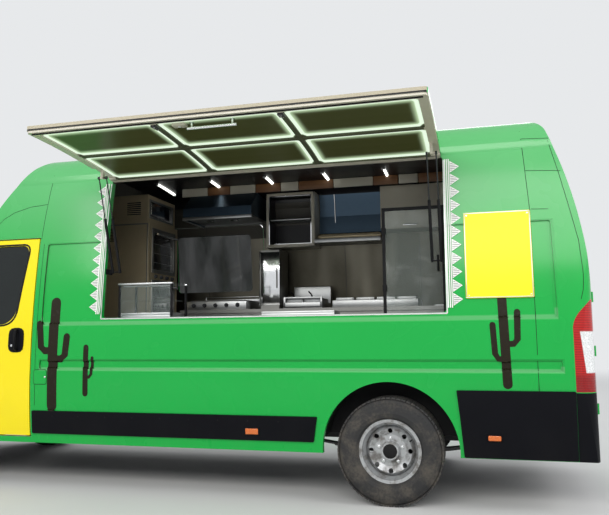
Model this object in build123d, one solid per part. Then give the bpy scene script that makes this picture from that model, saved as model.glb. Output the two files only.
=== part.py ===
from build123d import *
import os
from math import atan2, cos, degrees, hypot, radians, sin

# Food truck on a long panel van with a super-high roof. Millimetres, +Z up.
# The van frame used below has x = 0 at the nose and grows rearwards, y = 0 on the
# centreline with the serving side at -y, and z = 0 on the ground.

# Driving dimensions of the van
LENGTH = 6360.0
HEIGHT = 2760.0
WHEELBASE = 4035.0
FRONT_AXLE_X = 948.0
REAR_AXLE_X = FRONT_AXLE_X + WHEELBASE
TYRE_R = 372.0
TYRE_WIDTH = 225.0
RIM_R = 205.0
TRACK_HALF = 903.0
WALL = 45.0
FLOOR_TOP = 535.0
FLOOR_THICKNESS = 35.0
MOVING_GAP = 10.0
RUN_CLEARANCE = 0.1

# Body outside: bottom edge, rear face and the radius that bows the nose in plan
BODY_BOTTOM = 345.0
NOSE_BOTTOM = 235.0
REAR_X = 6350.0
BOW_CENTRE_X = 4500.0

# Serving hatch
HATCH_X0 = 2710.0
HATCH_X1 = 5400.0
HATCH_Z0 = 1330.0
HATCH_Z1 = 2470.0
HATCH_OPEN_ANGLE = 88.0
HATCH_HINGE_Y = -857.0
HATCH_HINGE_Z = 2491.0

# Cab and body division lines
DOOR_FRONT_X = 1130.0
DOOR_REAR_X = 2080.0
DOOR_BOTTOM_Z = 400.0
DOOR_TOP_Z = 2000.0
ROOF_LINE_Z = 2540.0
FRONT_ARCH_R = 452.0
REAR_ARCH_R = 480.0
BONNET_REAR_X = 630.0
REAR_FRAME_X = 6215.0
REAR_DOOR_BOTTOM_Z = 565.0
REAR_DOOR_TOP_Z = 2380.0
REAR_DOOR_HALF_WIDTH = 890.0

MIRROR_REACH = 1254.0
TOW_BAR_X = (5950.0, 6100.0)
TOW_BAR_HOLE_R = 6.5
TOW_BAR_HOLE_DEPTH = 40.0
JACK_PAD_X = (1800.0, 4300.0)
JACK_PAD_Z = 373.0


def gather(shape):
    """One compound of the solids in a shape or a list of shapes."""
    if isinstance(shape, (list, tuple)):
        found = [solid for item in shape for solid in item.solids()]
    else:
        found = shape.solids()
    return Compound(children=found)


def cut(shape, *tools):
    for tool in tools:
        shape = gather(shape - tool)
    return shape


def common(shape, *tools):
    for tool in tools:
        shape = gather(shape & tool)
    return shape


def fuse(*shapes):
    whole = shapes[0]
    for shape in shapes[1:]:
        whole = whole + shape
    return gather(whole)


def block(x0, x1, y0, y1, z0, z1):
    size = Box(x1 - x0, y1 - y0, z1 - z0)
    return Pos((x0 + x1) / 2, (y0 + y1) / 2, (z0 + z1) / 2) * size


def unit(vector):
    size = hypot(vector[0], vector[1])
    return (vector[0] / size, vector[1] / size)


def arc_centre(a, b, c):
    """Centre of the circle through three flat points."""
    d = 2 * (a[0] * (b[1] - c[1]) + b[0] * (c[1] - a[1]) + c[0] * (a[1] - b[1]))
    aa, bb, cc = (p[0] ** 2 + p[1] ** 2 for p in (a, b, c))
    u = (aa * (b[1] - c[1]) + bb * (c[1] - a[1]) + cc * (a[1] - b[1])) / d
    v = (aa * (c[0] - b[0]) + bb * (a[0] - c[0]) + cc * (b[0] - a[0])) / d
    return (u, v)


def end_directions(start, middle, end):
    """Unit directions of travel at both ends of a line or an arc."""
    if middle is None:
        straight = unit((end[0] - start[0], end[1] - start[1]))
        return straight, straight
    centre = arc_centre(start, middle, end)
    turn = (middle[0] - start[0]) * (end[1] - middle[1]) - (middle[1] - start[1]) * (end[0] - middle[0])
    sign = 1 if turn > 0 else -1
    directions = []
    for point in (start, end):
        radial = unit((point[0] - centre[0], point[1] - centre[1]))
        directions.append((-radial[1] * sign, radial[0] * sign))
    return directions


def outline(start, *steps, inset=0.0):
    """A flat face drawn anticlockwise or clockwise from a start point. A step (u, v) is a
    line to that point, and ((u, v), (u, v)) an arc through the first point to the second.
    Every edge is moved inwards by inset."""
    legs = []
    here = start
    for step in list(steps) + [start]:
        middle, end = step if isinstance(step[0], tuple) else (None, step)
        if hypot(here[0] - end[0], here[1] - end[1]) > 0.01:
            legs.append((here, middle, end))
        here = end
    area = sum(a[0] * b[1] - a[1] * b[0] for a, _, b in legs)
    shift = inset if area > 0 else -inset
    directions = [end_directions(*leg) for leg in legs]
    corners = []
    for i, (point, _, _) in enumerate(legs):
        arriving = directions[i - 1][1]
        leaving = directions[i][0]
        square = 1 + arriving[0] * leaving[0] + arriving[1] * leaving[1]
        across = (-(arriving[1] + leaving[1]) / square, (arriving[0] + leaving[0]) / square)
        corners.append((point[0] + shift * across[0], point[1] + shift * across[1]))
    edges = []
    for i, (a, middle, b) in enumerate(legs):
        start_point = corners[i]
        end_point = corners[(i + 1) % len(legs)]
        if middle is None:
            edges.append(Line(start_point, end_point))
        else:
            chord = unit((b[0] - a[0], b[1] - a[1]))
            moved = (middle[0] - shift * chord[1], middle[1] + shift * chord[0])
            edges.append(ThreePointArc(start_point, moved, end_point))
    return make_face(edges)


def rounded(points, radius=0.0):
    """A polygon face, every corner rounded by the same radius."""
    face = make_face(Polyline(*points, close=True))
    if radius > 0:
        face = fillet(face.vertices(), radius)
    return face


def along_y(face, y0, y1):
    """Extrude a face drawn in (x, z) from y0 to y1."""
    return Pos(0, y1, 0) * extrude(Plane.XZ * face, y1 - y0)


def along_x(face, x0, x1):
    """Extrude a face drawn in (y, z) from x0 to x1."""
    return Pos(x0, 0, 0) * extrude(Plane.YZ * face, x1 - x0)


def along_z(face, z0, z1):
    """Extrude a face drawn in (x, y) from z0 to z1."""
    return Pos(0, 0, z0) * extrude(face, z1 - z0)


def rod_x(x0, x1, y, z, radius):
    return Pos((x0 + x1) / 2, y, z) * Rot(0, 90, 0) * Cylinder(radius, x1 - x0)


def rod_y(x, y0, y1, z, radius):
    return Pos(x, (y0 + y1) / 2, z) * Rot(90, 0, 0) * Cylinder(radius, y1 - y0)


def rod_z(x, y, z0, z1, radius):
    return Pos(x, y, (z0 + z1) / 2) * Cylinder(radius, z1 - z0)


def mirrored(shape):
    return mirror(shape, Plane.XZ)


# Body envelope: side profile bowed in plan at the nose, cross-section and plan corners
def side_profile(inset):
    return outline(
        (60, NOSE_BOTTOM),
        ((20, 320), (1, 430)),
        (0, 600),
        ((20, 665), (75, 690)),
        (125, 990),
        ((150, 1050), (215, 1085)),
        ((440, 1210), (660, 1300)),
        ((1005, 1650), (1370, 2080)),
        ((1565, 2385), (1790, 2630)),
        ((1935, 2712), (2130, 2748)),
        ((4100, HEIGHT), (5950, 2735)),
        ((6065, 2690), (6125, 2590)),
        ((6290, 2000), (REAR_X, 1250)),
        (REAR_X, NOSE_BOTTOM),
        inset=inset,
    )


def cross_section(inset):
    right = [
        (962, NOSE_BOTTOM),
        (985, 330),
        ((1012, 590), (1025, 880)),
        (1025, 1000),
        ((1000, 1540), (955, 1955)),
        ((920, 2220), (874, 2480)),
        ((820, 2650), (690, 2722)),
        ((360, 2750), (0, HEIGHT)),
    ]
    left = [
        ((-360, 2750), (-690, 2722)),
        ((-820, 2650), (-874, 2480)),
        ((-920, 2220), (-955, 1955)),
        ((-1000, 1540), (-1025, 1000)),
        (-1025, 880),
        ((-1012, 590), (-985, 330)),
        (-962, NOSE_BOTTOM),
    ]
    return outline((0, NOSE_BOTTOM), *right, *left, inset=inset)


def envelope(inset):
    """The body's outside, moved inwards all over by inset."""
    profile = side_profile(inset)
    section = cross_section(inset)
    tall = 3000.0
    front_half = profile & (Pos(BOW_CENTRE_X / 2 - 500, tall / 2) * Rectangle(BOW_CENTRE_X + 1000, tall * 2))
    rear_half = profile & (Pos(BOW_CENTRE_X + 2500, tall / 2) * Rectangle(5000, tall * 2))
    bow_axis = Axis((BOW_CENTRE_X, 0, 0), (0, 0, 1))
    nose = revolve(Plane.XZ * front_half, bow_axis, 360) & block(-200, BOW_CENTRE_X, -1300, 1300, 0, tall)
    tail = along_y(rear_half, -1300, 1300)
    corner_r = 95.0
    side = 1023.0
    plan = outline(
        (420 + inset, -side - 60),
        (REAR_X - inset - 2 * corner_r, -side - 60),
        (REAR_X - inset - corner_r, -side + inset),
        ((REAR_X - inset - corner_r * 0.293, -side + inset + corner_r * 0.293),
         (REAR_X - inset, -side + inset + corner_r)),
        (REAR_X - inset, side - inset - corner_r),
        ((REAR_X - inset - corner_r * 0.293, side - inset - corner_r * 0.293),
         (REAR_X - inset - corner_r, side - inset)),
        (REAR_X - inset - 2 * corner_r, side + 60),
        (420 + inset, side + 60),
        ((190 + inset, side - inset - 140), (40 + inset, 640)),
        (inset - 20, 500),
        (inset - 20, -500),
        (40 + inset, -640),
        ((190 + inset, -side + inset + 140), (420 + inset, -side - 60)),
    )
    plan_solid = along_z(plan, 0, 3200)
    section_solid = along_x(section, -100, 6600)
    return common(nose + tail, section_solid, plan_solid)


RIB_DEPTH = 14.0
PANEL_DEPTH = 3.0
DEPTHS = (-12.0, -3.0, 0.0, 4.0, 10.0, 12.0, 18.0, WALL, WALL + PANEL_DEPTH, WALL + RIB_DEPTH)
BODY = {depth: envelope(depth) for depth in DEPTHS}
GLASS_OUT = 12.0
GLASS_IN = 18.0
RECESS_DEPTH = 12.0
SHELL = cut(BODY[0.0], BODY[WALL])
GLASS_SKIN = cut(BODY[GLASS_OUT], BODY[GLASS_IN])
SIDE_ZONE = cut(block(-100, 6600, -1400, 1400, 0, 3000), along_x(cross_section(WALL + 5.0), -200, 6700))
FRONT_GLASS_SKIN = cut(BODY[4.0], BODY[10.0])

LEFT = block(-100, 6600, -1400, 0, 0, 3000)
RIGHT = block(-100, 6600, 0, 1400, 0, 3000)

# Division of the shell in side view
SEAM = [(REAR_FRAME_X, 1300), (6150, 2000), (6035, ROOF_LINE_Z), (5985, 2900)]


def region_side():
    face = rounded([(DOOR_REAR_X + MOVING_GAP, BODY_BOTTOM), (REAR_FRAME_X, BODY_BOTTOM), *SEAM[:3],
                    (DOOR_REAR_X + MOVING_GAP, ROOF_LINE_Z)])
    return along_y(face, -1400, 1400)


def region_roof():
    face = rounded([(1250, 2030), (DOOR_REAR_X + MOVING_GAP, 2030), (DOOR_REAR_X + MOVING_GAP, ROOF_LINE_Z),
                    SEAM[2], SEAM[3], (1250, 2900)])
    return along_y(face, -1400, 1400)


def region_rear():
    face = rounded([(REAR_FRAME_X, BODY_BOTTOM), *SEAM, (6700, 2900), (6700, BODY_BOTTOM)])
    return along_y(face, -1400, 1400)


def arch(axle_x, radius):
    return rod_y(axle_x, -1400, 1400, TYRE_R, radius)


def door_face(grow):
    """Side view of a cab door, moved outwards by grow."""
    arc_r = FRONT_ARCH_R + 38
    rise = (DOOR_FRONT_X - FRONT_AXLE_X) / arc_r
    top_angle = radians(90) - atan2(rise, (1 - rise ** 2) ** 0.5)
    low_angle = atan2(DOOR_BOTTOM_Z - TYRE_R, arc_r)
    mid_angle = (top_angle + low_angle) / 2
    arc_points = [(FRONT_AXLE_X + arc_r * cos(a), TYRE_R + arc_r * sin(a)) for a in (low_angle, mid_angle, top_angle)]
    return outline(
        (DOOR_REAR_X, DOOR_BOTTOM_Z),
        (DOOR_REAR_X, DOOR_TOP_Z),
        (1585, DOOR_TOP_Z),
        (DOOR_FRONT_X, 1535),
        arc_points[2],
        (arc_points[1], arc_points[0]),
        inset=-grow,
    )


def soft_corner(face, corner, radius):
    """Rounds the corner of a flat face that is nearest to a point."""
    return fillet(face.vertices().sort_by_distance(corner)[0], radius)


WINDOW_TOP_Z = 1948.0
WINDOW_SILL_Z = 1290.0
WINDOW_REAR_TOP_X = 1998.0
WINDOW_REAR_LOW_X = 1908.0


def door_window_face():
    """The cab door's window: its rear edge leans forward into a wide round corner at the sill."""
    points = [(WINDOW_REAR_TOP_X, WINDOW_TOP_Z), (WINDOW_REAR_LOW_X, WINDOW_SILL_Z), (1345, WINDOW_SILL_Z), (1295, 1190),
              (1195, 1190), (1195, 1520), (1610, WINDOW_TOP_Z)]
    face = rounded(points)
    face = soft_corner(face, (*points[0], 0), 60)
    face = soft_corner(face, (*points[1], 0), 150)
    for point in points[2:]:
        face = soft_corner(face, (*point, 0), 22)
    return face


KITCHEN_WINDOW_X = (2450.0, 3300.0)
KITCHEN_WINDOW_Z = (1640.0, 2240.0)


def window_right_face():
    x0, x1 = KITCHEN_WINDOW_X
    z0, z1 = KITCHEN_WINDOW_Z
    return rounded([(x0, z0), (x1, z0), (x1, z1), (x0, z1)], 40)


def sliding_door_face(grow):
    x0, x1, z0, z1 = 2190.0, 3440.0, 425.0, 2330.0
    return rounded([(x0 - grow, z0), (x1 + grow, z0), (x1 + grow, z1 + grow), (x0 - grow, z1 + grow)], 45)


def recess():
    face = rounded([(2170, 1284), (6125, 1284), (6112, 1950), (2170, 1950)], 18)
    swage = rounded([(2170, 930), (6140, 930), (6140, 1000), (2170, 1000)], 12)
    ring = cut(BODY[0.0], BODY[RECESS_DEPTH])
    return common(ring, fuse(along_y(face, -1400, 1400), along_y(swage, -1400, 1400)))


RECESS = recess()


def hatch_face(grow):
    points = [(HATCH_X0 - grow, HATCH_Z0 - grow), (HATCH_X1 + grow, HATCH_Z0 - grow),
              (HATCH_X1 + grow, HATCH_Z1 + grow), (HATCH_X0 - grow, HATCH_Z1 + grow)]
    return rounded(points, 25)


def rear_door_face(grow, centre):
    half = REAR_DOOR_HALF_WIDTH + grow
    top = REAR_DOOR_TOP_Z + grow
    low = REAR_DOOR_BOTTOM_Z - grow
    return rounded([(centre, low), (half, low), (half, 1450), (half - 52, 1955), (half - 125, top), (centre, top)])


def rear_window_face():
    return rounded([(110, 1330), (800, 1330), (770, 1900), (110, 1900)], 45)


def barrel(axis, at, low, high, radius, bore=0.0):
    """A straight sleeve about a line along x, y or z."""
    make = {"x": lambda r: rod_x(low, high, at[0], at[1], r),
            "y": lambda r: rod_y(at[0], low, high, at[1], r),
            "z": lambda r: rod_z(at[0], at[1], low, high, r)}[axis]
    if bore == 0.0:
        return make(radius)
    return make(radius) - make(bore)


HINGE_R = 10.0
HINGE_NOTCH_R = 14.0
PIN_R = 5.0
HINGE_LENGTH = 40.0
LUG_LENGTH = 14.0
LUG_GAP = 0.5


def upright_hinge(x, y, z, fixed_to, moving_to):
    """Two fixed lugs with a pin, and a moving knuckle between them. fixed_to and moving_to
    are (x0, x1, y0, y1) plates that run from the axis into the panels."""
    half = HINGE_LENGTH / 2
    low, high = z - half - LUG_GAP, z + half + LUG_GAP
    fixed = rod_z(x, y, low - LUG_LENGTH, high + LUG_LENGTH, PIN_R)
    for z0, z1 in ((low - LUG_LENGTH, low), (high, high + LUG_LENGTH)):
        fixed = fixed + rod_z(x, y, z0, z1, HINGE_R) + block(*fixed_to, z0, z1)
    moving = rod_z(x, y, z - half, z + half, HINGE_R) + block(*moving_to, z - half, z + half)
    moving = moving - rod_z(x, y, z - half - 1, z + half + 1, PIN_R + RUN_CLEARANCE)
    return fixed, moving


# Cab doors
CAB_HINGE_X = DOOR_FRONT_X - MOVING_GAP / 2
CAB_HINGE_Y = -1029.0
CAB_HINGE_Z = (930.0, 1360.0)


def cab_hinges():
    fixed, moving = [], []
    for z in CAB_HINGE_Z:
        f, m = upright_hinge(CAB_HINGE_X, CAB_HINGE_Y, z,
                             (CAB_HINGE_X - 22, CAB_HINGE_X - 1, CAB_HINGE_Y - 3, -985),
                             (CAB_HINGE_X + 1, CAB_HINGE_X + 22, CAB_HINGE_Y - 3, -985))
        fixed.append(f)
        moving.append(m)
    return fixed, moving


def hinge_length():
    return HINGE_LENGTH + 2 * (LUG_GAP + LUG_LENGTH) + 6


def cab_hinge_notches():
    half = hinge_length() / 2
    return [rod_z(CAB_HINGE_X, CAB_HINGE_Y, z - half, z + half, HINGE_NOTCH_R) for z in CAB_HINGE_Z]


def cab_door():
    panel = common(SHELL, LEFT, SIDE_ZONE, along_y(door_face(0), -1400, 1400))
    panel = cut(panel, along_y(door_window_face(), -1400, 1400))
    return fuse(cut(panel, *cab_hinge_notches()), *cab_hinges()[1])


def cab_door_glass():
    return common(GLASS_SKIN, LEFT, along_y(door_window_face(), -1400, 1400))


MIRROR_X = 1225.0


def mirror_set():
    head = fillet(block(MIRROR_X - 55, MIRROR_X + 45, -MIRROR_REACH, -1065, 1255, 1625).edges(), 28)
    low_arm = block(MIRROR_X - 22, MIRROR_X + 22, -1100, -1012, 1262, 1292)
    high_arm = block(MIRROR_X - 22, MIRROR_X + 22, -1100, -1000, 1500, 1530)
    whole = fuse(head, low_arm, high_arm)
    return cut(whole, common(BODY[0.0], LEFT))


# Rear doors
REAR_GAP = 12.0
REAR_HINGE_X = REAR_X + 7
REAR_HINGE_Y = -(REAR_DOOR_HALF_WIDTH + REAR_GAP / 2)
REAR_HINGE_Z = (680.0, 1060.0, 1420.0)
CENTRE_GAP = 16.0


def rear_hinges():
    fixed, moving = [], []
    for z in REAR_HINGE_Z:
        f, m = upright_hinge(REAR_HINGE_X, REAR_HINGE_Y, z,
                             (REAR_HINGE_X - 20, REAR_HINGE_X + 3, REAR_HINGE_Y - 20, REAR_HINGE_Y - 1),
                             (REAR_HINGE_X - 20, REAR_HINGE_X + 3, REAR_HINGE_Y + 1, REAR_HINGE_Y + 20))
        fixed.append(f)
        moving.append(m)
    return fixed, moving


def rear_hinge_notches():
    half = hinge_length() / 2
    return [rod_z(REAR_HINGE_X, REAR_HINGE_Y, z - half, z + half, HINGE_NOTCH_R) for z in REAR_HINGE_Z]


def rear_door():
    face = rear_door_face(0, CENTRE_GAP / 2)
    panel = mirrored(common(SHELL, along_x(face, 6050, 6500)))
    panel = cut(panel, mirrored(along_x(rear_window_face(), 6050, 6500)))
    return fuse(cut(panel, *rear_hinge_notches()), *rear_hinges()[1])


def rear_door_glass():
    return mirrored(common(GLASS_SKIN, along_x(rear_window_face(), 6050, 6500)))


# Bonnet
BONNET_HALF = 790.0
BONNET_HINGE_X = BONNET_REAR_X + MOVING_GAP / 2
BONNET_HINGE_Z = 1296.0
BONNET_HINGE_Y = (-260.0, 260.0)


def bonnet_hinges():
    fixed, moving = [], []
    for y in BONNET_HINGE_Y:
        half = HINGE_LENGTH / 2
        low, high = y - half - LUG_GAP, y + half + LUG_GAP
        f = rod_y(BONNET_HINGE_X, low - LUG_LENGTH, high + LUG_LENGTH, BONNET_HINGE_Z, PIN_R)
        for y0, y1 in ((low - LUG_LENGTH, low), (high, high + LUG_LENGTH)):
            f = f + rod_y(BONNET_HINGE_X, y0, y1, BONNET_HINGE_Z, HINGE_R)
            f = f + block(BONNET_HINGE_X + 1, BONNET_HINGE_X + 22, y0, y1, BONNET_HINGE_Z - 30, BONNET_HINGE_Z + 3)
        m = rod_y(BONNET_HINGE_X, y - half, y + half, BONNET_HINGE_Z, HINGE_R)
        m = m + block(BONNET_HINGE_X - 22, BONNET_HINGE_X - 1, y - half, y + half, BONNET_HINGE_Z - 30, BONNET_HINGE_Z + 3)
        m = m - rod_y(BONNET_HINGE_X, y - half - 1, y + half + 1, BONNET_HINGE_Z, PIN_R + RUN_CLEARANCE)
        fixed.append(f)
        moving.append(m)
    return fixed, moving


def bonnet_hinge_notches():
    half = hinge_length() / 2
    return [rod_y(BONNET_HINGE_X, y - half, y + half, BONNET_HINGE_Z, HINGE_NOTCH_R) for y in BONNET_HINGE_Y]


def bonnet():
    zone = block(-100, BONNET_REAR_X, -BONNET_HALF, BONNET_HALF, 1012, 1500)
    return fuse(cut(common(SHELL, zone), *bonnet_hinge_notches()), *bonnet_hinges()[1])


# Nose
GRILLE_HALF = 470.0
LAMP_BOTTOM = 700.0
LAMP_TOP = 985.0


def bumper_zone():
    return block(-100, 520, -1400, 1400, 0, 690)


def grille_zone():
    return block(-100, 400, -GRILLE_HALF, GRILLE_HALF, LAMP_BOTTOM - 10, 1002)


def lamp_zone():
    face = rounded([(-100, LAMP_BOTTOM), (330, LAMP_BOTTOM + 40), (250, LAMP_TOP), (-100, LAMP_TOP)])
    return cut(along_y(face, -1400, 1400), block(-200, 500, -GRILLE_HALF - 20, GRILLE_HALF + 20, 0, 3000))


def windscreen_zone():
    face = rounded([(-800, 1345), (800, 1345), (735, 1985), (-735, 1985)], 60)
    return along_x(face, 500, 1750)


def cab_shell():
    zone = block(-100, DOOR_REAR_X + MOVING_GAP, -1400, 1400, BODY_BOTTOM, 2030)
    shape = common(SHELL, zone)
    shape = cut(
        shape,
        common(along_y(door_face(MOVING_GAP), -1400, 1400), SIDE_ZONE),
        block(-100, BONNET_REAR_X + MOVING_GAP, -BONNET_HALF - MOVING_GAP, BONNET_HALF + MOVING_GAP, 1002, 1500),
        bumper_zone(),
        grille_zone(),
        lamp_zone(),
        windscreen_zone(),
        arch(FRONT_AXLE_X, FRONT_ARCH_R),
        *cab_hinge_notches(),
        *[mirrored(item) for item in cab_hinge_notches()],
        *bonnet_hinge_notches(),
    )
    fixed = cab_hinges()[0]
    return fuse(shape, *fixed, *[mirrored(item) for item in fixed], *bonnet_hinges()[0])


def front_bumper():
    shape = cut(common(SHELL, bumper_zone()), arch(FRONT_AXLE_X, FRONT_ARCH_R))
    intake = rounded([(-430, 330), (430, 330), (470, 500), (-470, 500)], 30)
    return cut(shape, along_x(intake, -100, 30))


def grille():
    shape = common(SHELL, grille_zone())
    for i in range(4):
        z = LAMP_BOTTOM + 35 + i * 66
        shape = cut(shape, along_x(rounded([(-430, z), (430, z), (430, z + 40), (-430, z + 40)], 12), -100, 400))
    return shape


def headlamps():
    return common(SHELL, lamp_zone())


def windscreen():
    return common(FRONT_GLASS_SKIN, windscreen_zone())


# Body sides, roof and rear
def side_panel():
    zone = block(-100, 6600, -1400, -300, 0, 3000)
    shape = common(SHELL, region_side(), zone)
    return cut(shape, arch(REAR_AXLE_X, REAR_ARCH_R), RECESS)


STRUT_R = 11.0
ROD_R = 5.0
STRUT_EYE_R = 12.0
STRUT_EYE_WIDTH = 14.0
STRUT_FOOT = (-895.0, 1705.0)
STRUT_TOP_CLOSED = (-810.0, 2215.0)
STRUT_X = (HATCH_X0 + 28, HATCH_X0 + 93, HATCH_X1 - 93, HATCH_X1 - 28)
STRUT_TUBE = 440.0
ROD_LENGTH = 468.0


def turned(point, degrees_about_x):
    """A (y, z) point turned about the hatch hinge line."""
    a = radians(degrees_about_x)
    y, z = point[0] - HATCH_HINGE_Y, point[1] - HATCH_HINGE_Z
    return (HATCH_HINGE_Y + y * cos(a) - z * sin(a), HATCH_HINGE_Z + y * sin(a) + z * cos(a))


STRUT_TOP_OPEN = turned(STRUT_TOP_CLOSED, -HATCH_OPEN_ANGLE)
STRUT_OPEN_LENGTH = hypot(STRUT_TOP_OPEN[0] - STRUT_FOOT[0], STRUT_TOP_OPEN[1] - STRUT_FOOT[1])
STRUT_OPEN_ANGLE = degrees(atan2(STRUT_TOP_OPEN[1] - STRUT_FOOT[1], STRUT_TOP_OPEN[0] - STRUT_FOOT[0]))


def strut_feet():
    """Brackets on the inside of the wall, each pair with one pin for its two struts."""
    y, z = STRUT_FOOT
    feet = []
    for x0, x1, inner in ((STRUT_X[0], STRUT_X[1], -1), (STRUT_X[3], STRUT_X[2], 1)):
        wall_x = x0 + inner * 38
        edge_x = x0 + inner * 24
        plate_x = x0 + inner * (STRUT_R + 2)
        lo, hi = sorted((wall_x, edge_x))
        feet.append(block(lo, hi, -960, y + 14, z - 22, z + 22))
        lo, hi = sorted((wall_x, plate_x))
        feet.append(block(lo, hi, y - 15, y + 14, z - 22, z + 22))
        lo, hi = sorted((plate_x, x1 - inner * (STRUT_EYE_WIDTH / 2 + 5)))
        feet.append(rod_x(lo, hi, y, z, PIN_R))
    return feet


HINGE_RAIL_COUNT = 7


def hatch_hinge():
    """Piano hinge along the top of the opening: fixed pin and lugs, moving knuckles."""
    span = (HATCH_X1 - HATCH_X0 - 40) / (2 * HINGE_RAIL_COUNT + 1)
    start = HATCH_X0 + 20
    pin = rod_x(start, start + span * (2 * HINGE_RAIL_COUNT + 1), HATCH_HINGE_Y, HATCH_HINGE_Z, PIN_R)
    fixed, moving = [pin], []
    for i in range(2 * HINGE_RAIL_COUNT + 1):
        x0, x1 = start + i * span + LUG_GAP, start + (i + 1) * span - LUG_GAP
        knuckle = rod_x(x0, x1, HATCH_HINGE_Y, HATCH_HINGE_Z, HINGE_R - 1)
        if i % 2 == 0:
            leaf = block(x0, x1, HATCH_HINGE_Y - 1, HATCH_HINGE_Y + 22, HATCH_HINGE_Z - 5, HATCH_HINGE_Z + 5)
            fixed.append(knuckle + leaf)
        else:
            leaf = block(x0, x1, HATCH_HINGE_Y - 5, HATCH_HINGE_Y + 5, HATCH_HINGE_Z - 45, HATCH_HINGE_Z - 2)
            leaf = knuckle + leaf - rod_x(x0 - 1, x1 + 1, HATCH_HINGE_Y, HATCH_HINGE_Z, PIN_R + RUN_CLEARANCE)
            moving.append(leaf)
    return fixed, moving


def side_left():
    shape = cut(side_panel(), along_y(hatch_face(0), -1400, -500))
    recess_for_hinge = rod_x(HATCH_X0 + 10, HATCH_X1 - 10, HATCH_HINGE_Y, HATCH_HINGE_Z, HINGE_R + 5)
    slot = block(HATCH_X0 + 10, HATCH_X1 - 10, HATCH_HINGE_Y - 60, HATCH_HINGE_Y + 12, HATCH_Z1 - 2,
                 HATCH_HINGE_Z + HINGE_R + 5)
    shape = cut(shape, recess_for_hinge, slot)
    return fuse(shape, *hatch_hinge()[0], *strut_feet())


def side_right():
    shape = mirrored(side_panel())
    return cut(shape, along_y(sliding_door_face(6), 500, 1400))


def sliding_door():
    shape = common(SHELL, RIGHT, along_y(sliding_door_face(0), 500, 1400))
    return cut(shape, RECESS, along_y(window_right_face(), 500, 1400))


def kitchen_window():
    return common(GLASS_SKIN, RIGHT, along_y(window_right_face(), 500, 1400))


def roof():
    return common(SHELL, region_roof())


def tail_lamp_zone():
    face = soft_corner(rounded([(6212, 795), (6500, 795), (6500, 1400), (6335, 1400), (6212, 1268)]), (6212, 1268, 0), 200)
    return cut(along_y(face, -1400, 1400), block(6000, 6600, -925, 925, 0, 3000))


def rear_bumper_zone():
    face = rounded([(-1400, BODY_BOTTOM), (1400, BODY_BOTTOM), (1400, 790), (925, 790), (925, 545), (-925, 545),
                    (-925, 790), (-1400, 790)])
    return along_x(face, REAR_FRAME_X - 10, 6700)


def rear_frame():
    shape = common(SHELL, region_rear())
    half = rear_door_face(REAR_GAP, -1)
    shape = cut(shape, along_x(half, 6050, 6500), mirrored(along_x(half, 6050, 6500)),
                tail_lamp_zone(), rear_bumper_zone(), *rear_hinge_notches(),
                *[mirrored(item) for item in rear_hinge_notches()])
    fixed = rear_hinges()[0]
    return fuse(shape, *fixed, *[mirrored(item) for item in fixed])


def tail_lamps():
    return common(SHELL, region_rear(), tail_lamp_zone())


def rear_bumper():
    shape = common(SHELL, region_rear(), rear_bumper_zone())
    step = fillet(block(REAR_X - 20, LENGTH, -760, 760, 420, 530).edges().filter_by(Axis.Y), 4)
    return fuse(shape, step)


TRIM_GAP = 2.0
QUARTER_END_X = REAR_FRAME_X - TRIM_GAP


def side_mouldings():
    skin = cut(BODY[-12.0], BODY[0.0])
    strip = rounded([(2110, 420), (4440, 420), (4470, 600), (2110, 600)], 8)
    quarter = rounded([(5490, 350), (QUARTER_END_X, 350), (QUARTER_END_X, 800), (5450, 800), (5470, 600)], 8)
    return common(skin, fuse(along_y(strip, -1400, 1400), along_y(quarter, -1400, 1400)))


BOARD_X = (5536.0, 5984.0)
BOARD_Z = (1424.0, 2030.0)
BOARD_OUT = -3.0


def menu_board():
    """A board that fills the recess, stands a little proud of it, and laps over the pressing above."""
    x0, x1 = BOARD_X
    z0, z1 = BOARD_Z
    face = along_y(rounded([(x0, z0), (x1, z0), (x1, z1), (x0, z1)], 6), -1400, -500)
    proud = cut(BODY[BOARD_OUT], BODY[0.0])
    return fuse(common(proud, LEFT, face), common(RECESS, LEFT, face))


# Hatch lid, in its closed place and then turned open about the hinge
HINGE_LINE = Axis((0, HATCH_HINGE_Y, HATCH_HINGE_Z), (1, 0, 0))
RIM_WIDTH = 62.0
RIB_WIDTH = 34.0
LID_COLUMNS = 3
LID_ROWS = 2


def opened(shape):
    return gather(shape.rotate(HINGE_LINE, -HATCH_OPEN_ANGLE))


def hatch_lid():
    shape = common(SHELL, along_y(hatch_face(-MOVING_GAP), -1400, -500))
    shape = cut(shape, RECESS)
    return opened(fuse(shape, *hatch_hinge()[1]))


def lid_cells():
    """Side-view rectangles of the lid's inner bays."""
    x0, x1 = HATCH_X0 + MOVING_GAP + RIM_WIDTH, HATCH_X1 - MOVING_GAP - RIM_WIDTH
    z0, z1 = HATCH_Z0 + MOVING_GAP + RIM_WIDTH, HATCH_Z1 - MOVING_GAP - RIM_WIDTH
    dx = (x1 - x0 - (LID_COLUMNS - 1) * RIB_WIDTH) / LID_COLUMNS
    dz = (z1 - z0 - (LID_ROWS - 1) * RIB_WIDTH) / LID_ROWS
    cells = []
    for i in range(LID_COLUMNS):
        for j in range(LID_ROWS):
            cx, cz = x0 + i * (dx + RIB_WIDTH), z0 + j * (dz + RIB_WIDTH)
            cells.append((cx, cx + dx, cz, cz + dz))
    return cells


def cell_zone(cell, shrink):
    x0, x1, z0, z1 = cell
    face = rounded([(x0 + shrink, z0 + shrink), (x1 - shrink, z0 + shrink), (x1 - shrink, z1 - shrink),
                    (x0 + shrink, z1 - shrink)], 20 - shrink)
    return along_y(face, -1400, -500)


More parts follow.
